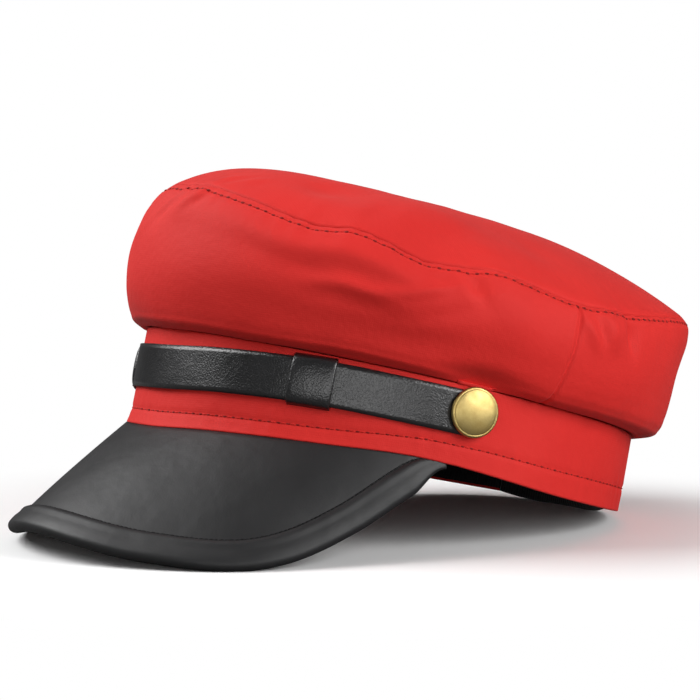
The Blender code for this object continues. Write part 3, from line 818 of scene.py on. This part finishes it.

# %% [markdown]
# ## Stitches
# A sewing machine leaves a row of short threads, each a few millimetres long, that dip into
# the cloth at both ends. One row runs 2 mm below the top seam with 3.6 mm to a stitch, and
# others along the foot of the band and beside the peak's bound edge. Each stitch is a small
# capsule laid along the cloth and sunk at its ends, and a darker one between two is painted
# shade: it stands for the shadow in the needle hole. A bump texture could fake them, but real
# threads also show at the edge.

# %% Rows of stitches
STITCH_PITCH = 0.0036
STITCH_LENGTH = 0.0023
THREAD_RADIUS = 0.00030
HOLE_LENGTH = 0.0016
HOLE_SINK = 0.00002
CAPSULE_RINGS = ((-1, 0.15), (-0.75, 0.8), (0, 1), (0.75, 0.8), (1, 0.15))  # place, size
CAPSULE_SIDES = 7
NEARBY = 0.01  # the step over which a stitch finds the slope under it


def capsule(length, wide, sink, ahead_by):
    """Points (along, across, out) of a capsule whose ends dip into the cloth."""
    points = []
    for share, size in CAPSULE_RINGS:
        lift = sink * (1 - 3.0 * share**2)
        for turn in evenly(CAPSULE_SIDES):
            out = THREAD_RADIUS * size * math.sin(turn) + lift
            points.append((share * length / 2 + ahead_by, wide * size * math.cos(turn), out))
    return np.array(points)


def stitches(name, surface, v_of, hole_radius, finishes, slot, start=-180.0, end=180.0):
    """One mesh of threads, with beads of painted shade for the needle holes between them, along a
    line on a surface.

    The surface is a function of two values: the first runs from start to end, written in
    degrees and handed over in radians, and v_of gives the second.
    """
    fine = np.radians(np.linspace(start, end, 1500))
    steps = np.linalg.norm(np.diff(surface(fine, v_of(fine)), axis=0), axis=-1)
    run = np.concatenate([[0], np.cumsum(steps)])
    count = round(run[-1] / STITCH_PITCH)
    u = np.interp((np.arange(count) + 0.5) * run[-1] / count, run, fine)
    v = v_of(u)
    centre = surface(u, v)
    ahead = unit(surface(u + NEARBY, v_of(u + NEARBY)) - centre)
    out = unit(np.cross(ahead, surface(u, v + NEARBY) - surface(u, v - NEARBY)))
    ways = np.stack([ahead, np.cross(out, ahead), out], axis=1)
    thread = capsule(STITCH_LENGTH, THREAD_RADIUS, 0.3 * THREAD_RADIUS, 0.0)
    hole = capsule(HOLE_LENGTH, hole_radius, HOLE_SINK, STITCH_PITCH / 2)
    points = np.concatenate([centre[:, None] + shape @ ways for shape in (thread, hole)])
    faces, side = [], CAPSULE_SIDES
    for first in range(0, 2 * count * len(thread), len(thread)):
        last_ring = first + len(thread) - side
        for ring in range(first, last_ring, side):
            for i in range(side):
                near, far = ring + i, ring + (i + 1) % side
                faces.append((near, far, far + side, near + side))
        faces.extend([ring + i for i in range(side)] for ring in (first, last_ring))
    mesh = bpy.data.meshes.new(name)
    mesh.from_pydata(to_table(points.reshape(-1, 3)).tolist(), [], faces)
    mesh.uv_layers.new(name="cut")
    half = len(faces) // 2
    mesh.polygons.foreach_set("material_index", np.arange(2 * half) // half)
    print(f"{name}: {count} stitches over {1000 * run[-1]:.0f} mm")
    return fitted(shown(name, mesh, finishes, turn_out=True), slot)


stitches(
    "crown_seam_stitches",
    crown_cloth,
    lambda angle: 1 - STITCH_DROP / WALL_TALL + 0 * angle,
    hole_radius=0.00062,
    finishes=[red_thread, needle_hole_shade],
    # the second finish is painted shade in the needle holes
    slot="red_cotton",
)

# %% [markdown]
# ## The band
# The band is a double strip of cotton, folded over at its foot. It is a ring with a rounded
# foot, so light catches its edge, and its lower edge is pushed out a little by the peak.
# The row of stitches that holds the fold pulls a shallow channel into it.

# %% Sew the band
BAND_STITCH_RISE = (
    # angle from the front, height of the stitches over the foot
    (0, 0.0057),
    (60, 0.0060),
    (88, 0.0084),
    (180, 0.0085),
)
BAND_CHANNEL = 0.00035
BAND_CHANNEL_WIDTH = 0.0009
BAND_PUCKER = 0.00012
BAND_PUCKER_REACH = 0.005
BAND_SAG = 0.00018
BAND_PUCKER_WAVES = (50, 95, 3, 21)
BAND_SAG_WAVES = (6, 20, 4, 22)
BAND_ROUND = 0.0004
FOOT_ON_PEAK = 0.00028
FOOT_ON_PEAK_ANGLE = 76.0


def stitch_rise(angle):
    return smooth(BAND_STITCH_RISE, from_front(angle))[..., 0]


def pushed(angle, share):
    """How far the band stands out at a share of its height, where the peak pushes it."""
    return flare(angle) * np.clip(1 - share / FLARE_HEIGHT, 0, 1) ** FLARE_POWER


def band_face(angle, height):
    """The band's outer face at a height over the level cap's foot."""
    angle, height = np.broadcast_arrays(angle, height)
    rise = height - rim(angle)
    share = rise / (band_top(angle) - rim(angle))
    line = rise - stitch_rise(angle)
    pucker = ripple(angle, share, *BAND_PUCKER_WAVES) * bell(line, BAND_PUCKER_REACH)
    depth = BAND_CHANNEL * bell(line, BAND_CHANNEL_WIDTH) + BAND_PUCKER * pucker
    depth = depth + BAND_SAG * ripple(angle, share, *BAND_SAG_WAVES)
    return oval(angle, pushed(angle, share) - depth, height)


def turned_over(first, last, rise):
    """Rows in a half round from one row of points to another."""
    middle, half = (first + last) / 2, (first - last) / 2
    turns = np.radians((30, 60, 90, 120, 150))
    return [middle + half * math.cos(t) + [0, 0, rise * math.sin(t)] for t in turns]


band_turn = evenly(400)[None]
on_peak = np.clip((FOOT_ON_PEAK_ANGLE - from_front(band_turn)) / 3, 0, 1)
foot = rim(band_turn) - FOOT_ON_PEAK * on_peak
tall = band_top(band_turn) - foot - 2 * BAND_ROUND
shares = closer_at_ends(0.0, 1.0, 40, shrink=0.5)
outer = [band_face(band_turn, foot + BAND_ROUND + share * tall) for share in shares]
inner_low = oval(band_turn, flare(band_turn) - BAND_WALL, foot + BAND_ROUND)
inner_high = oval(band_turn, -BAND_WALL, band_top(band_turn) - BAND_ROUND)
band_rows = outer + turned_over(outer[-1], inner_high, BAND_ROUND)
for share in (0.0, 0.25, 0.5, 0.75, 0.9, 1.0):
    row = inner_high + (inner_low - inner_high) * share
    row[..., :2] = oval(band_turn, pushed(band_turn, 1 - share) - BAND_WALL, 0)[..., :2]
    band_rows.append(row)
band_rows += turned_over(inner_low, outer[0], -BAND_ROUND)
band = sewn("band_cloth", np.concatenate(band_rows), [red_poplin], closed=True, loop=True)
fitted(band, "red_cotton", "headband")
stitches(
    "band_stitches",
    band_face,
    lambda angle: rim(angle) + stitch_rise(angle),
    hole_radius=0.00034,
    # the second finish is painted shade in the needle holes
    finishes=[red_thread, needle_hole_shade],
    slot="red_cotton",
)

# %% [markdown]
# ## Lining and size adjuster
# Inside the band runs a black woven sweatband, and inside its back a flat tape that pulls the
# cap smaller. The tape sags a little below the band, and on the table its lower edge carries
# the back of the cap, so it is flat there. Both are plain strips swept round the oval.

# %% Sweep a strip round the band
SWEATBAND_WALL = 0.0012
SWEATBAND_RECESS = 0.0010
ADJUSTER_HALF_ANGLE = 24.0
ADJUSTER_WIDTH = 0.0200
ADJUSTER_WALL = 0.0014
ADJUSTER_SAG = 0.0019
STRIP_CORNER = 0.0004


def rounded(out_low, out_high, low, high, corner, steps=3, middle=6):
    """Points (out, rise) of a strip's section with rounded corners, as one loop."""
    corners = (
        (out_high - corner, high - corner, 0),
        (out_low + corner, high - corner, 90),
        (out_low + corner, low + corner, 180),
        (out_high - corner, low + corner, 270),
    )
    arcs = []
    for out, rise, turn in corners:
        turns = np.radians(np.linspace(turn, turn + 90, steps + 1))
        arcs.append([(out + corner * math.cos(t), rise + corner * math.sin(t)) for t in turns])
    section = []
    for arc, following in zip(arcs, arcs[1:] + arcs[:1]):
        here, there = np.array(arc[-1]), np.array(following[0])
        shares = np.linspace(0, 1, middle + 2)[1:-1]
        section += arc + [tuple(here + (there - here) * share) for share in shares]
    return section


def swept(angle, section, middle, half=1.0, start=0.0):
    """A grid of a section carried round the band, rows along the section."""
    return np.stack([oval(angle, start + out, middle + half * rise) for out, rise in section])


lining_turn = evenly(240)
low, high = rim(lining_turn) + SWEATBAND_RECESS, band_top(lining_turn) - SWEATBAND_RECESS
face = -BAND_WALL - GAP
lining_section = rounded(face - SWEATBAND_WALL, face, 0, 1, STRIP_CORNER, steps=1, middle=5)
lining_grid = swept(lining_turn, lining_section, low, high - low)
lining = sewn("sweatband_lining", lining_grid, [black_webbing], closed=True, loop=True)
fitted(lining, "black_webbing", "sweatband")

turn = np.linspace(-1, 1, 97)
tape_angle = math.pi + np.radians(ADJUSTER_HALF_ANGLE) * turn
tape_middle = rim(tape_angle) - ADJUSTER_SAG * (1 - np.abs(turn) ** 3) + ADJUSTER_WIDTH / 2
face = -BAND_WALL - SWEATBAND_WALL - 2 * GAP
half = ADJUSTER_WIDTH / 2
tape_section = rounded(face - ADJUSTER_WALL, face, -half, half, STRIP_CORNER)
tape_grid = swept(tape_angle, tape_section, tape_middle)
tape = sewn("size_adjuster_tape", tape_grid, [black_webbing], loop=True, lowest=0.0)
fitted(tape, "black_webbing", "size_adjuster")

# %% [markdown]
# ## The peak
# The peak is a plastic stiffener between two faces of coated leather. It leaves the band
# along its lower edge and slopes down, flatter in front and nearly upright at its ends. Its
# shape is a ruled surface: at each place along the band a table gives how long it is and how
# steep. Bending a flat plate with a modifier would work too, but the table lets the edge
# land exactly on the table top.

# %% The peak's surface
PEAK_LENGTH = 0.0600
PEAK_HALF_ANGLE = 73.4
PEAK_FRONT_SLOPE = 45.0
PEAK_END_SLOPE = 79.0
PEAK_BULGE = 0.0016
PEAK_WALL = 0.0024
TUCK_REACH = 0.10
TUCKED_LENGTH = 0.35
PEAK_SECTIONS = (
    # place, length as a share of PEAK_LENGTH, slope from PEAK_FRONT_SLOPE to PEAK_END_SLOPE
    (-1.00, 0.04, 1.00),
    (-0.90, 0.20, 0.92),
    (-0.75, 0.46, 0.76),
    (-0.55, 0.76, 0.51),
    (-0.30, 0.93, 0.25),
    (0.00, 1.00, 0.00),
    (0.30, 0.99, 0.22),
    (0.55, 0.86, 0.40),
    (0.75, 0.50, 0.70),
    (0.90, 0.20, 0.88),
    (1.00, 0.04, 1.00),
)


def peak_section(side):
    """Length of the peak and its slope at a place along the band."""
    share = smooth(PEAK_SECTIONS, side)
    slope = PEAK_FRONT_SLOPE + (PEAK_END_SLOPE - PEAK_FRONT_SLOPE) * share[..., 1]
    return PEAK_LENGTH * share[..., 0], np.radians(slope)


def peak_root(side):
    """The line along the band's lower edge that the peak starts from."""
    angle = np.radians(PEAK_HALF_ANGLE) * side
    return oval(angle, flare(angle), rim(angle) - GAP)


def peak_face(side, down):
    """Top face of the peak: side -1 to 1 along the band, down 0 at the band, 1 at the edge."""
    side, down = np.broadcast_arrays(side, down)
    level = outward(np.radians(PEAK_HALF_ANGLE) * side)
    length, slope = peak_section(side)
    out = level * np.cos(slope)[..., None]
    lift = level * np.sin(slope)[..., None]
    out[..., 2] -= np.sin(slope)
    lift[..., 2] += np.cos(slope)
    bulge = PEAK_BULGE * (length / PEAK_LENGTH) ** 2 * 4 * down * (1 - down)
    return peak_root(side) + out * (length * down)[..., None] + lift * bulge[..., None]


def peak_normal(side, down):
    side, down = np.broadcast_arrays(side, down)
    normal = normals(peak_face, side, down, STEP / 2, STEP)
    return normal * np.sign(normal[..., 2:])


def peak_layer(side, down, depth):
    """A face of the peak `depth` below its top face."""
    return peak_face(side, down) - peak_normal(side, down) * depth


def tucked(rows, side):
    """Draws the ends of the peak up to the band, where the real ones are sewn in."""
    share = np.clip((1 - np.abs(side)) / TUCK_REACH, 0, 1)
    keep = TUCKED_LENGTH + (1 - TUCKED_LENGTH) * share * share * (3 - 2 * share)
    root = peak_root(side)
    return root + (rows - root) * keep[..., None]


# %% The peak's plate
BINDING_GAP = 0.0005
BINDING_WALL = 0.0010
side = closer_at_ends(-1, 1, 121, shrink=0.4)[None]
down = np.linspace(0, 1, 36)[:, None]
bend = PEAK_WALL * np.tan(peak_section(side)[1] / 2)
peak_angle = np.radians(PEAK_HALF_ANGLE) * side
ledge = rim(peak_angle) - GAP
upper = [oval(peak_angle, flare(peak_angle) - BAND_WALL, ledge), peak_face(side, down)]
under = [peak_layer(side, down[:1:-1], PEAK_WALL)]
for inset in (0, GAP):
    back = flare(peak_angle) - bend - inset
    under.append(oval(peak_angle, back, ledge - PEAK_WALL))
peak_grid = tucked(np.concatenate(upper + under), side)
lowest = BINDING_GAP + BINDING_WALL
peak_plate = sewn("peak_leather", peak_grid, [peak_leather], loop=True, lowest=lowest)
fitted(peak_plate, "black_leather", "peak")

# %% [markdown]
# ## The bound edge
# A strip of the same leather is sewn face down along the peak, folded over its edge and
# pulled tight, so on top it shows a small step at its seam, a flat part, a soft groove and a
# round roll. The strip is swept through a section with those features. Where the peak
# touches the table the roll is pressed flat.

# %% Bind the peak
BINDING_PROFILE = (
    # width in from the edge, height over the peak as a share of the leather's thickness
    (0.0085, -0.48), (0.0084, -0.20), (0.0081, 0.28), (0.0076, 0.62), (0.0069, 0.86),
    (0.0060, 0.92), (0.0049, 0.80), (0.0038, 0.88), (0.0026, 1.06), (0.0012, 1.08),
)
FINE_STEP = 0.004  # the step by which a place on the peak is searched for
MOST_MOVE = 0.04


def dot(first, second):
    return np.sum(first * second, axis=-1)


def edge_frame(side):
    """The peak's edge at mid-thickness, the way straight out of it, and the face's normal."""
    along = peak_face(side + FINE_STEP, 1.0) - peak_face(side - FINE_STEP, 1.0)
    normal = peak_normal(side, 1.0)
    away = unit(np.cross(along, normal))
    away *= np.sign(dot(away, outward(np.radians(PEAK_HALF_ANGLE) * side)))[:, None]
    return peak_layer(side, 1.0, PEAK_WALL / 2), away, normal


def in_from_edge(side, width):
    """The place on the peak, as side and down, that lies `width` in from its edge."""
    _, away, _ = edge_frame(side)
    target = peak_face(side, 1.0) - away * np.asarray(width)[..., None]
    at_side, at_down = side.copy(), 1 - width / PEAK_LENGTH + 0 * side
    for _ in range(25):
        here = peak_face(at_side, at_down)
        by_side = (peak_face(at_side + FINE_STEP, at_down) - here) / FINE_STEP
        by_down = (here - peak_face(at_side, at_down - FINE_STEP)) / FINE_STEP
        miss = target - here
        ss, sd, dd = dot(by_side, by_side), dot(by_side, by_down), dot(by_down, by_down)
        ms, md = dot(miss, by_side), dot(miss, by_down)
        area = ss * dd - sd**2
        move_side = np.clip((ms * dd - md * sd) / area, -MOST_MOVE, MOST_MOVE)
        move_down = np.clip((md * ss - ms * sd) / area, -MOST_MOVE, MOST_MOVE)
        at_side = np.clip(at_side + move_side, -1, 1)
        at_down = np.clip(at_down + move_down, 0.03, 1)
    return at_side, at_down


bound = closer_at_ends(-1, 1, 221, shrink=0.4)
edge_middle, edge_away, edge_normal = edge_frame(bound)
near = PEAK_WALL / 2 + BINDING_GAP
far = near + BINDING_WALL


def rolled(size, start, end, count):
    """Rows of a half round about the middle of the peak's edge."""
    turns = np.radians(np.linspace(start, end, count))[:, None, None]
    return list(edge_middle + size * (edge_away * np.cos(turns) + edge_normal * np.sin(turns)))


legs = []
for width, share in BINDING_PROFILE:
    legs.append((in_from_edge(bound, width), near + BINDING_WALL * share))
inner_place = legs[0][0]
binding_rows = [peak_layer(*place, PEAK_WALL / 2 - lift) for place, lift in legs]
binding_rows += rolled(far, 90, -90, 15)
binding_rows += [peak_layer(*place, PEAK_WALL / 2 + lift) for place, lift in reversed(legs)]
binding_rows.append(peak_layer(*inner_place, PEAK_WALL / 2 + near))
binding_rows += rolled(near, -90, 90, 7)
binding_rows.append(peak_layer(*inner_place, PEAK_WALL / 2 - near))
binding_grid = tucked(np.stack(binding_rows), bound[None])
binding = sewn("peak_edge_binding", binding_grid, [peak_leather], loop=True, lowest=0.0)
fitted(binding, "black_leather", "peak_binding")

# %% [markdown]
# The seam of the binding shows as a thin dark line beside its step, with a small thread at
# every stitch. Black cotton thread is far more matt than the leather, and the needle holes
# between the threads are painted shade in the same black, so the row draws that line. The
# row's distance from the edge is given in centimetres, so that the small step by which a
# stitch finds the slope under it is 0.1 mm.

# %% Stitch the binding
PEAK_SEAM_IN = 0.89
PEAK_SEAM_END = 55.0  # in radians 0.96, the share of the way to the peak's end


def beside_binding(side, centimetres):
    """A place on the peak beside its binding."""
    side, width = np.broadcast_arrays(side, 0.01 * centimetres)
    return tucked(peak_layer(*in_from_edge(side, width), 0.0), side)


stitches(
    "binding_stitches",
    beside_binding,
    lambda side: PEAK_SEAM_IN + 0 * side,
    hole_radius=0.00026,
    # the thread is its own black; the second black is painted shade in the needle holes
    finishes=[black_thread, black_thread],
    slot="black_leather",
    start=-PEAK_SEAM_END,
    end=PEAK_SEAM_END,
)

# %% [markdown]
# ## The strap and its keepers
# A narrow leather strap runs across the front from button to button, and two short loops keep
# it flat. It was cut from a hide, so its two long edges show a paler, rougher core than its
# face. The strap bows a little off the band between its fixings. Its section has rounded
# corners, and the faces on its edges get a finish of their own.

# %% Cut the strap
STRAP_MIDDLE = (
    # angle, height as a share of the band's height at the front
    (-90, 0.640), (-60, 0.622), (-40, 0.600), (-20, 0.596), (0, 0.608), (20, 0.663),
    (45, 0.708), (60, 0.700), (90, 0.668),
)
STRAP_WIDTH = 0.0162
STRAP_WALL = 0.0012
STRAP_TIP = 0.0040
STRAP_TIP_WIDTH = 0.0100
STRAP_TAPER = 0.003
STRAP_CORNER = 0.0003
STRAP_BOW = 0.0003
STRAP_BOW_ANGLE = 32
EDGE_FACING = 0.75
KEEPER_ANGLE = 41.3
KEEPER_LENGTH = 0.0156
KEEPER_WALL = 0.0011
KEEPER_SWELL = 0.0009
KEEPER_END_ROUND = 0.00035
KEEPER_COLUMNS = 41


def strap_middle(angle):
    return BAND_HEIGHTS[0] * smooth(STRAP_MIDDLE, wrapped(np.degrees(angle)))[..., 0]


last = BUTTON_ANGLE + degrees_for(STRAP_TIP, BUTTON_ANGLE)
strap_angle = np.radians(closer_at_ends(-last, last, 241, shrink=0.3))
tip = (last - from_front(strap_angle)) / degrees_for(STRAP_TAPER, BUTTON_ANGLE)
full = np.sqrt(1 - (1 - np.clip(tip, 0, 1)) ** 2)
half_width = (STRAP_TIP_WIDTH + (STRAP_WIDTH - STRAP_TIP_WIDTH) * full) / 2
bow_turn = np.radians(90) * np.clip(from_front(strap_angle) / STRAP_BOW_ANGLE, 0, 1)
bow = STRAP_BOW * np.cos(bow_turn) ** 2
strap_section = rounded(0, STRAP_WALL, -1, 1, STRAP_CORNER, middle=8)
strap_grid = swept(strap_angle, strap_section, strap_middle(strap_angle), half_width, GAP + bow)
strap = sewn("strap_leather", strap_grid, [strap_leather, cut_edge], loop=True)
for polygon in strap.data.polygons:
    polygon.material_index = int(abs(polygon.normal.z) > EDGE_FACING)
fitted(strap, "black_strap_leather", "strap")

# %% Fold the keepers
keeper_half = STRAP_WIDTH / 2 + GAP + KEEPER_WALL
keeper_out = STRAP_WALL + GAP + KEEPER_WALL
keeper_section = []
for t in np.linspace(1, -1, 29):
    out = (keeper_out + KEEPER_SWELL * (1 - t * t)) * math.sqrt(1 - abs(t) ** 6)
    keeper_section.append((GAP + out, keeper_half * t))
for t in np.linspace(-1, 1, 13):
    out = (STRAP_WALL + GAP) * math.sqrt(1 - abs(t) ** 10)
    keeper_section.append((GAP + out, (keeper_half - KEEPER_WALL) * t))
end_round = KEEPER_END_ROUND * np.abs(np.linspace(-1, 1, KEEPER_COLUMNS)) ** 12
for name, at in (("left", KEEPER_ANGLE), ("right", -KEEPER_ANGLE)):
    reach = degrees_for(KEEPER_LENGTH / 2, at)
    keeper_angle = np.radians(np.linspace(at - reach, at + reach, KEEPER_COLUMNS))
    keeper_rows = []
    for out, rise in keeper_section:
        rounding = end_round * (out > STRAP_WALL + 2 * GAP)
        keeper_rows.append(oval(keeper_angle, out - rounding, strap_middle(keeper_angle) + rise))
    keeper = sewn(f"keeper_loop_{name}", np.stack(keeper_rows), [strap_leather], loop=True)
    fitted(keeper, "black_strap_leather", f"strap_keeper_{name}")

# %% [markdown]
# ## The buttons
# Each button is a stamped shell: a low dome, a thin rolled rim and a post that goes through
# the strap and the band. It is a profile turned about its axis, as on a lathe.

# %% Turn the buttons
BUTTON_LIFT = 0.0008
BUTTON_SIDES = 96
BUTTON_EDGE = (
    # in from the widest part and height over the strap, in mm
    (0.7, 0.0), (0.2, 0.2), (0.0, 0.7), (0.1, 1.2), (0.4, 1.6), (0.9, 1.7), (1.2, 1.6),
)
DOME_INSET = 0.0002
DOME_START = 0.0010
DOME_RISE = 0.0020
POST_RADIUS = 0.0015
radius = BUTTON_DIAMETER / 2
button_profile = [(POST_RADIUS, -2 * GAP - STRAP_WALL - BAND_WALL), (POST_RADIUS, 0.0)]
button_profile += [(radius - 0.001 * inset, 0.001 * height) for inset, height in BUTTON_EDGE]
for t in np.radians(np.linspace(26, 88, 18)):
    size = (radius - DOME_INSET) * math.cos(t)
    button_profile.append((size, DOME_START + DOME_RISE * math.sin(t)))

for name, at in (("left", BUTTON_ANGLE), ("right", -BUTTON_ANGLE)):
    angle = math.radians(at)
    out = outward(np.array(angle))
    across = np.array([-out[1], out[0], 0.0])
    up = np.array([0.0, 0.0, 1.0])
    root = oval(angle, 2 * GAP + STRAP_WALL, strap_middle(angle) + BUTTON_LIFT)
    spin = evenly(BUTTON_SIDES)
    circle = across * np.cos(spin)[:, None] + up * np.sin(spin)[:, None]
    rings = np.stack([root + out * height + circle * size for size, height in button_profile])
    button = sewn(f"brass_button_{name}", rings, [brass], closed=True)
    with opened(button.data) as form:
        bmesh.ops.holes_fill(form, edges=form.edges)
        bmesh.ops.recalc_face_normals(form, faces=form.faces)
    button.data.shade_smooth()
    button.data.set_sharp_from_angle(angle=math.radians(50))
    fitted(button, "antique_brass", f"button_{name}")

# %% [markdown]
# ## The table and the light
# A catalogue picture of a cap uses a white table that runs into a white background. To the
# camera this table is matt white paper, which takes the cap's shadow and fades into plain
# white away from it. To all other rays it is grey, because in a studio with dark walls little
# light comes back up from below. The key light is large and soft, above and in front on the
# wearer's right. A long low one stands near the camera and a third towards the back, and a
# dim ceiling and world keep the shadows open.

# %% Floor
FLOOR_SIZE = 12
FADE_START = 0.13
FADE_END = 0.24
PAPER_BLOTCH = 300
WHITE = (1, 1, 1, 1)

bpy.ops.mesh.primitive_grid_add(x_subdivisions=8, y_subdivisions=8, size=FLOOR_SIZE)
floor = bpy.context.object
floor.name = "studio_floor"
paper, tree, shader = finish("matt_white_paper", Roughness=0.9)
colour, _ = blotches(tree, in_mm(tree), PAPER_BLOTCH, "#FCFCFC", "#FFFFFF")
joined(tree, shader, Base_Color=colour)
floor.data.materials.append(paper)
place = add(tree, "ShaderNodeTexCoord").outputs["Object"]
away = add(tree, "ShaderNodeVectorMath", {0: place}, operation="LENGTH").outputs["Value"]
fade = ranged(tree, away, (FADE_START, FADE_END), interpolation_type="SMOOTHSTEP")
glow = add(tree, "ShaderNodeEmission", {"Color": WHITE, "Strength": 1.0}).outputs["Emission"]
grey = add(tree, "ShaderNodeBsdfDiffuse", {"Color": linear("#6C6C6C")}).outputs["BSDF"]


def either(tree, share, first, second):
    """Two shaders mixed by a share of the second one."""
    return add(tree, "ShaderNodeMixShader", {0: share, 1: first, 2: second}).outputs["Shader"]


def by_camera(tree):
    """1 for rays from the camera and 0 for all others."""
    return add(tree, "ShaderNodeLightPath").outputs["Is Camera Ray"]


seen = either(tree, fade, shader.outputs["BSDF"], glow)
joined(tree, tree.nodes["Material Output"], Surface=either(tree, by_camera(tree), grey, seen))
print(f"floor: white paper that fades from {FADE_START} to {FADE_END} m away from the cap")

# %% Lights and background
WORLD_STRENGTH = 0.07
LIGHT_AIM = Vector((0, 0, 0.07))
LIGHTS = (
    # name, degrees round from the front, degrees up, metres away, width, height, watts
    ("front_softbox", -42, 41, 1.6, 1.4, 1.0, 29.0),
    ("near_strip", 57, 9, 1.6, 1.5, 0.40, 6.5),
    ("back_softbox", 116, 24, 1.4, 0.9, 0.9, 17.5),
)
CEILING_STRENGTH = 0.35
CEILING_WIDTH = math.radians(60)
CEILING_LEAN = (math.radians(8), math.radians(-14), 0)


def towards(turn, rise):
    """The direction to a place `turn` round from the front and `rise` up, in degrees."""
    turn, rise = math.radians(turn), math.radians(rise)
    level = math.cos(rise)
    return Vector((level * math.sin(turn), -level * math.cos(turn), math.sin(rise)))


def placed(name, data, place, turned):
    """An object with its place and its turn."""
    made = bpy.data.objects.new(name, data)
    made.location = place
    made.rotation_euler = turned
    bpy.context.collection.objects.link(made)
    return made


def facing(place, target):
    """The turn that points a light or a camera from its place to a target."""
    return (target - place).to_track_quat("-Z", "Y").to_euler()


world = bpy.data.worlds.new("studio")
bpy.context.scene.world = world
world.use_nodes = True
sky = world.node_tree
dim = sky.nodes["Background"]
dim.inputs["Color"].default_value = WHITE
dim.inputs["Strength"].default_value = WORLD_STRENGTH
white = add(sky, "ShaderNodeBackground", {"Color": WHITE, "Strength": 1.0})
behind = either(sky, by_camera(sky), dim.outputs["Background"], white.outputs["Background"])
joined(sky, sky.nodes["World Output"], Surface=behind)

for name, turn, rise, distance, width, height, watts in LIGHTS:
    lamp = bpy.data.lights.new(name, "AREA")
    lamp.shape = "RECTANGLE"
    lamp.size = width
    lamp.size_y = height
    lamp.energy = watts
    place = distance * towards(turn, rise)
    placed(name, lamp, place, facing(place, LIGHT_AIM))
    print(f"{name}: {watts} W from {distance} m")

ceiling = bpy.data.lights.new("white_ceiling", "SUN")
ceiling.energy = CEILING_STRENGTH
ceiling.angle = CEILING_WIDTH
placed("white_ceiling", ceiling, (0, 0, 0), CEILING_LEAN)

# %% [markdown]
# ## The camera
# The cap is seen from its left front, 55 degrees round and only 8 degrees above the table,
# with a long lens from 1.3 m, so its far side is hardly smaller than its near one. The lens
# follows from the cap's real size and its size in the picture.

# %% Camera
CAMERA_TURN = 55
CAMERA_RISE = 8
CAMERA_DISTANCE = 1.3
PIXELS_PER_METRE = 2600
PICTURE_MIDDLE = 350
ORIGIN_IN_PICTURE = (375.6, 523.5)
LENS = 173.8
SENSOR = 36

back = towards(CAMERA_TURN, CAMERA_RISE)
across = towards(CAMERA_TURN + 90, 0)
above = back.cross(across)
origin = Vector((0, POSE_FORWARD, 0))
eye = origin + back * CAMERA_DISTANCE
right_by = PICTURE_MIDDLE - ORIGIN_IN_PICTURE[0]
up_by = ORIGIN_IN_PICTURE[1] - PICTURE_MIDDLE
aim = origin + (across * right_by + above * up_by) / PIXELS_PER_METRE
lens = bpy.data.cameras.new("studio_camera")
lens.lens = LENS
lens.sensor_width = SENSOR
bpy.context.scene.camera = placed("studio_camera", lens, eye, facing(eye, aim))
bpy.context.scene.view_settings.view_transform = "Standard"
print(f"camera: {LENS} mm lens, {CAMERA_DISTANCE} m away")
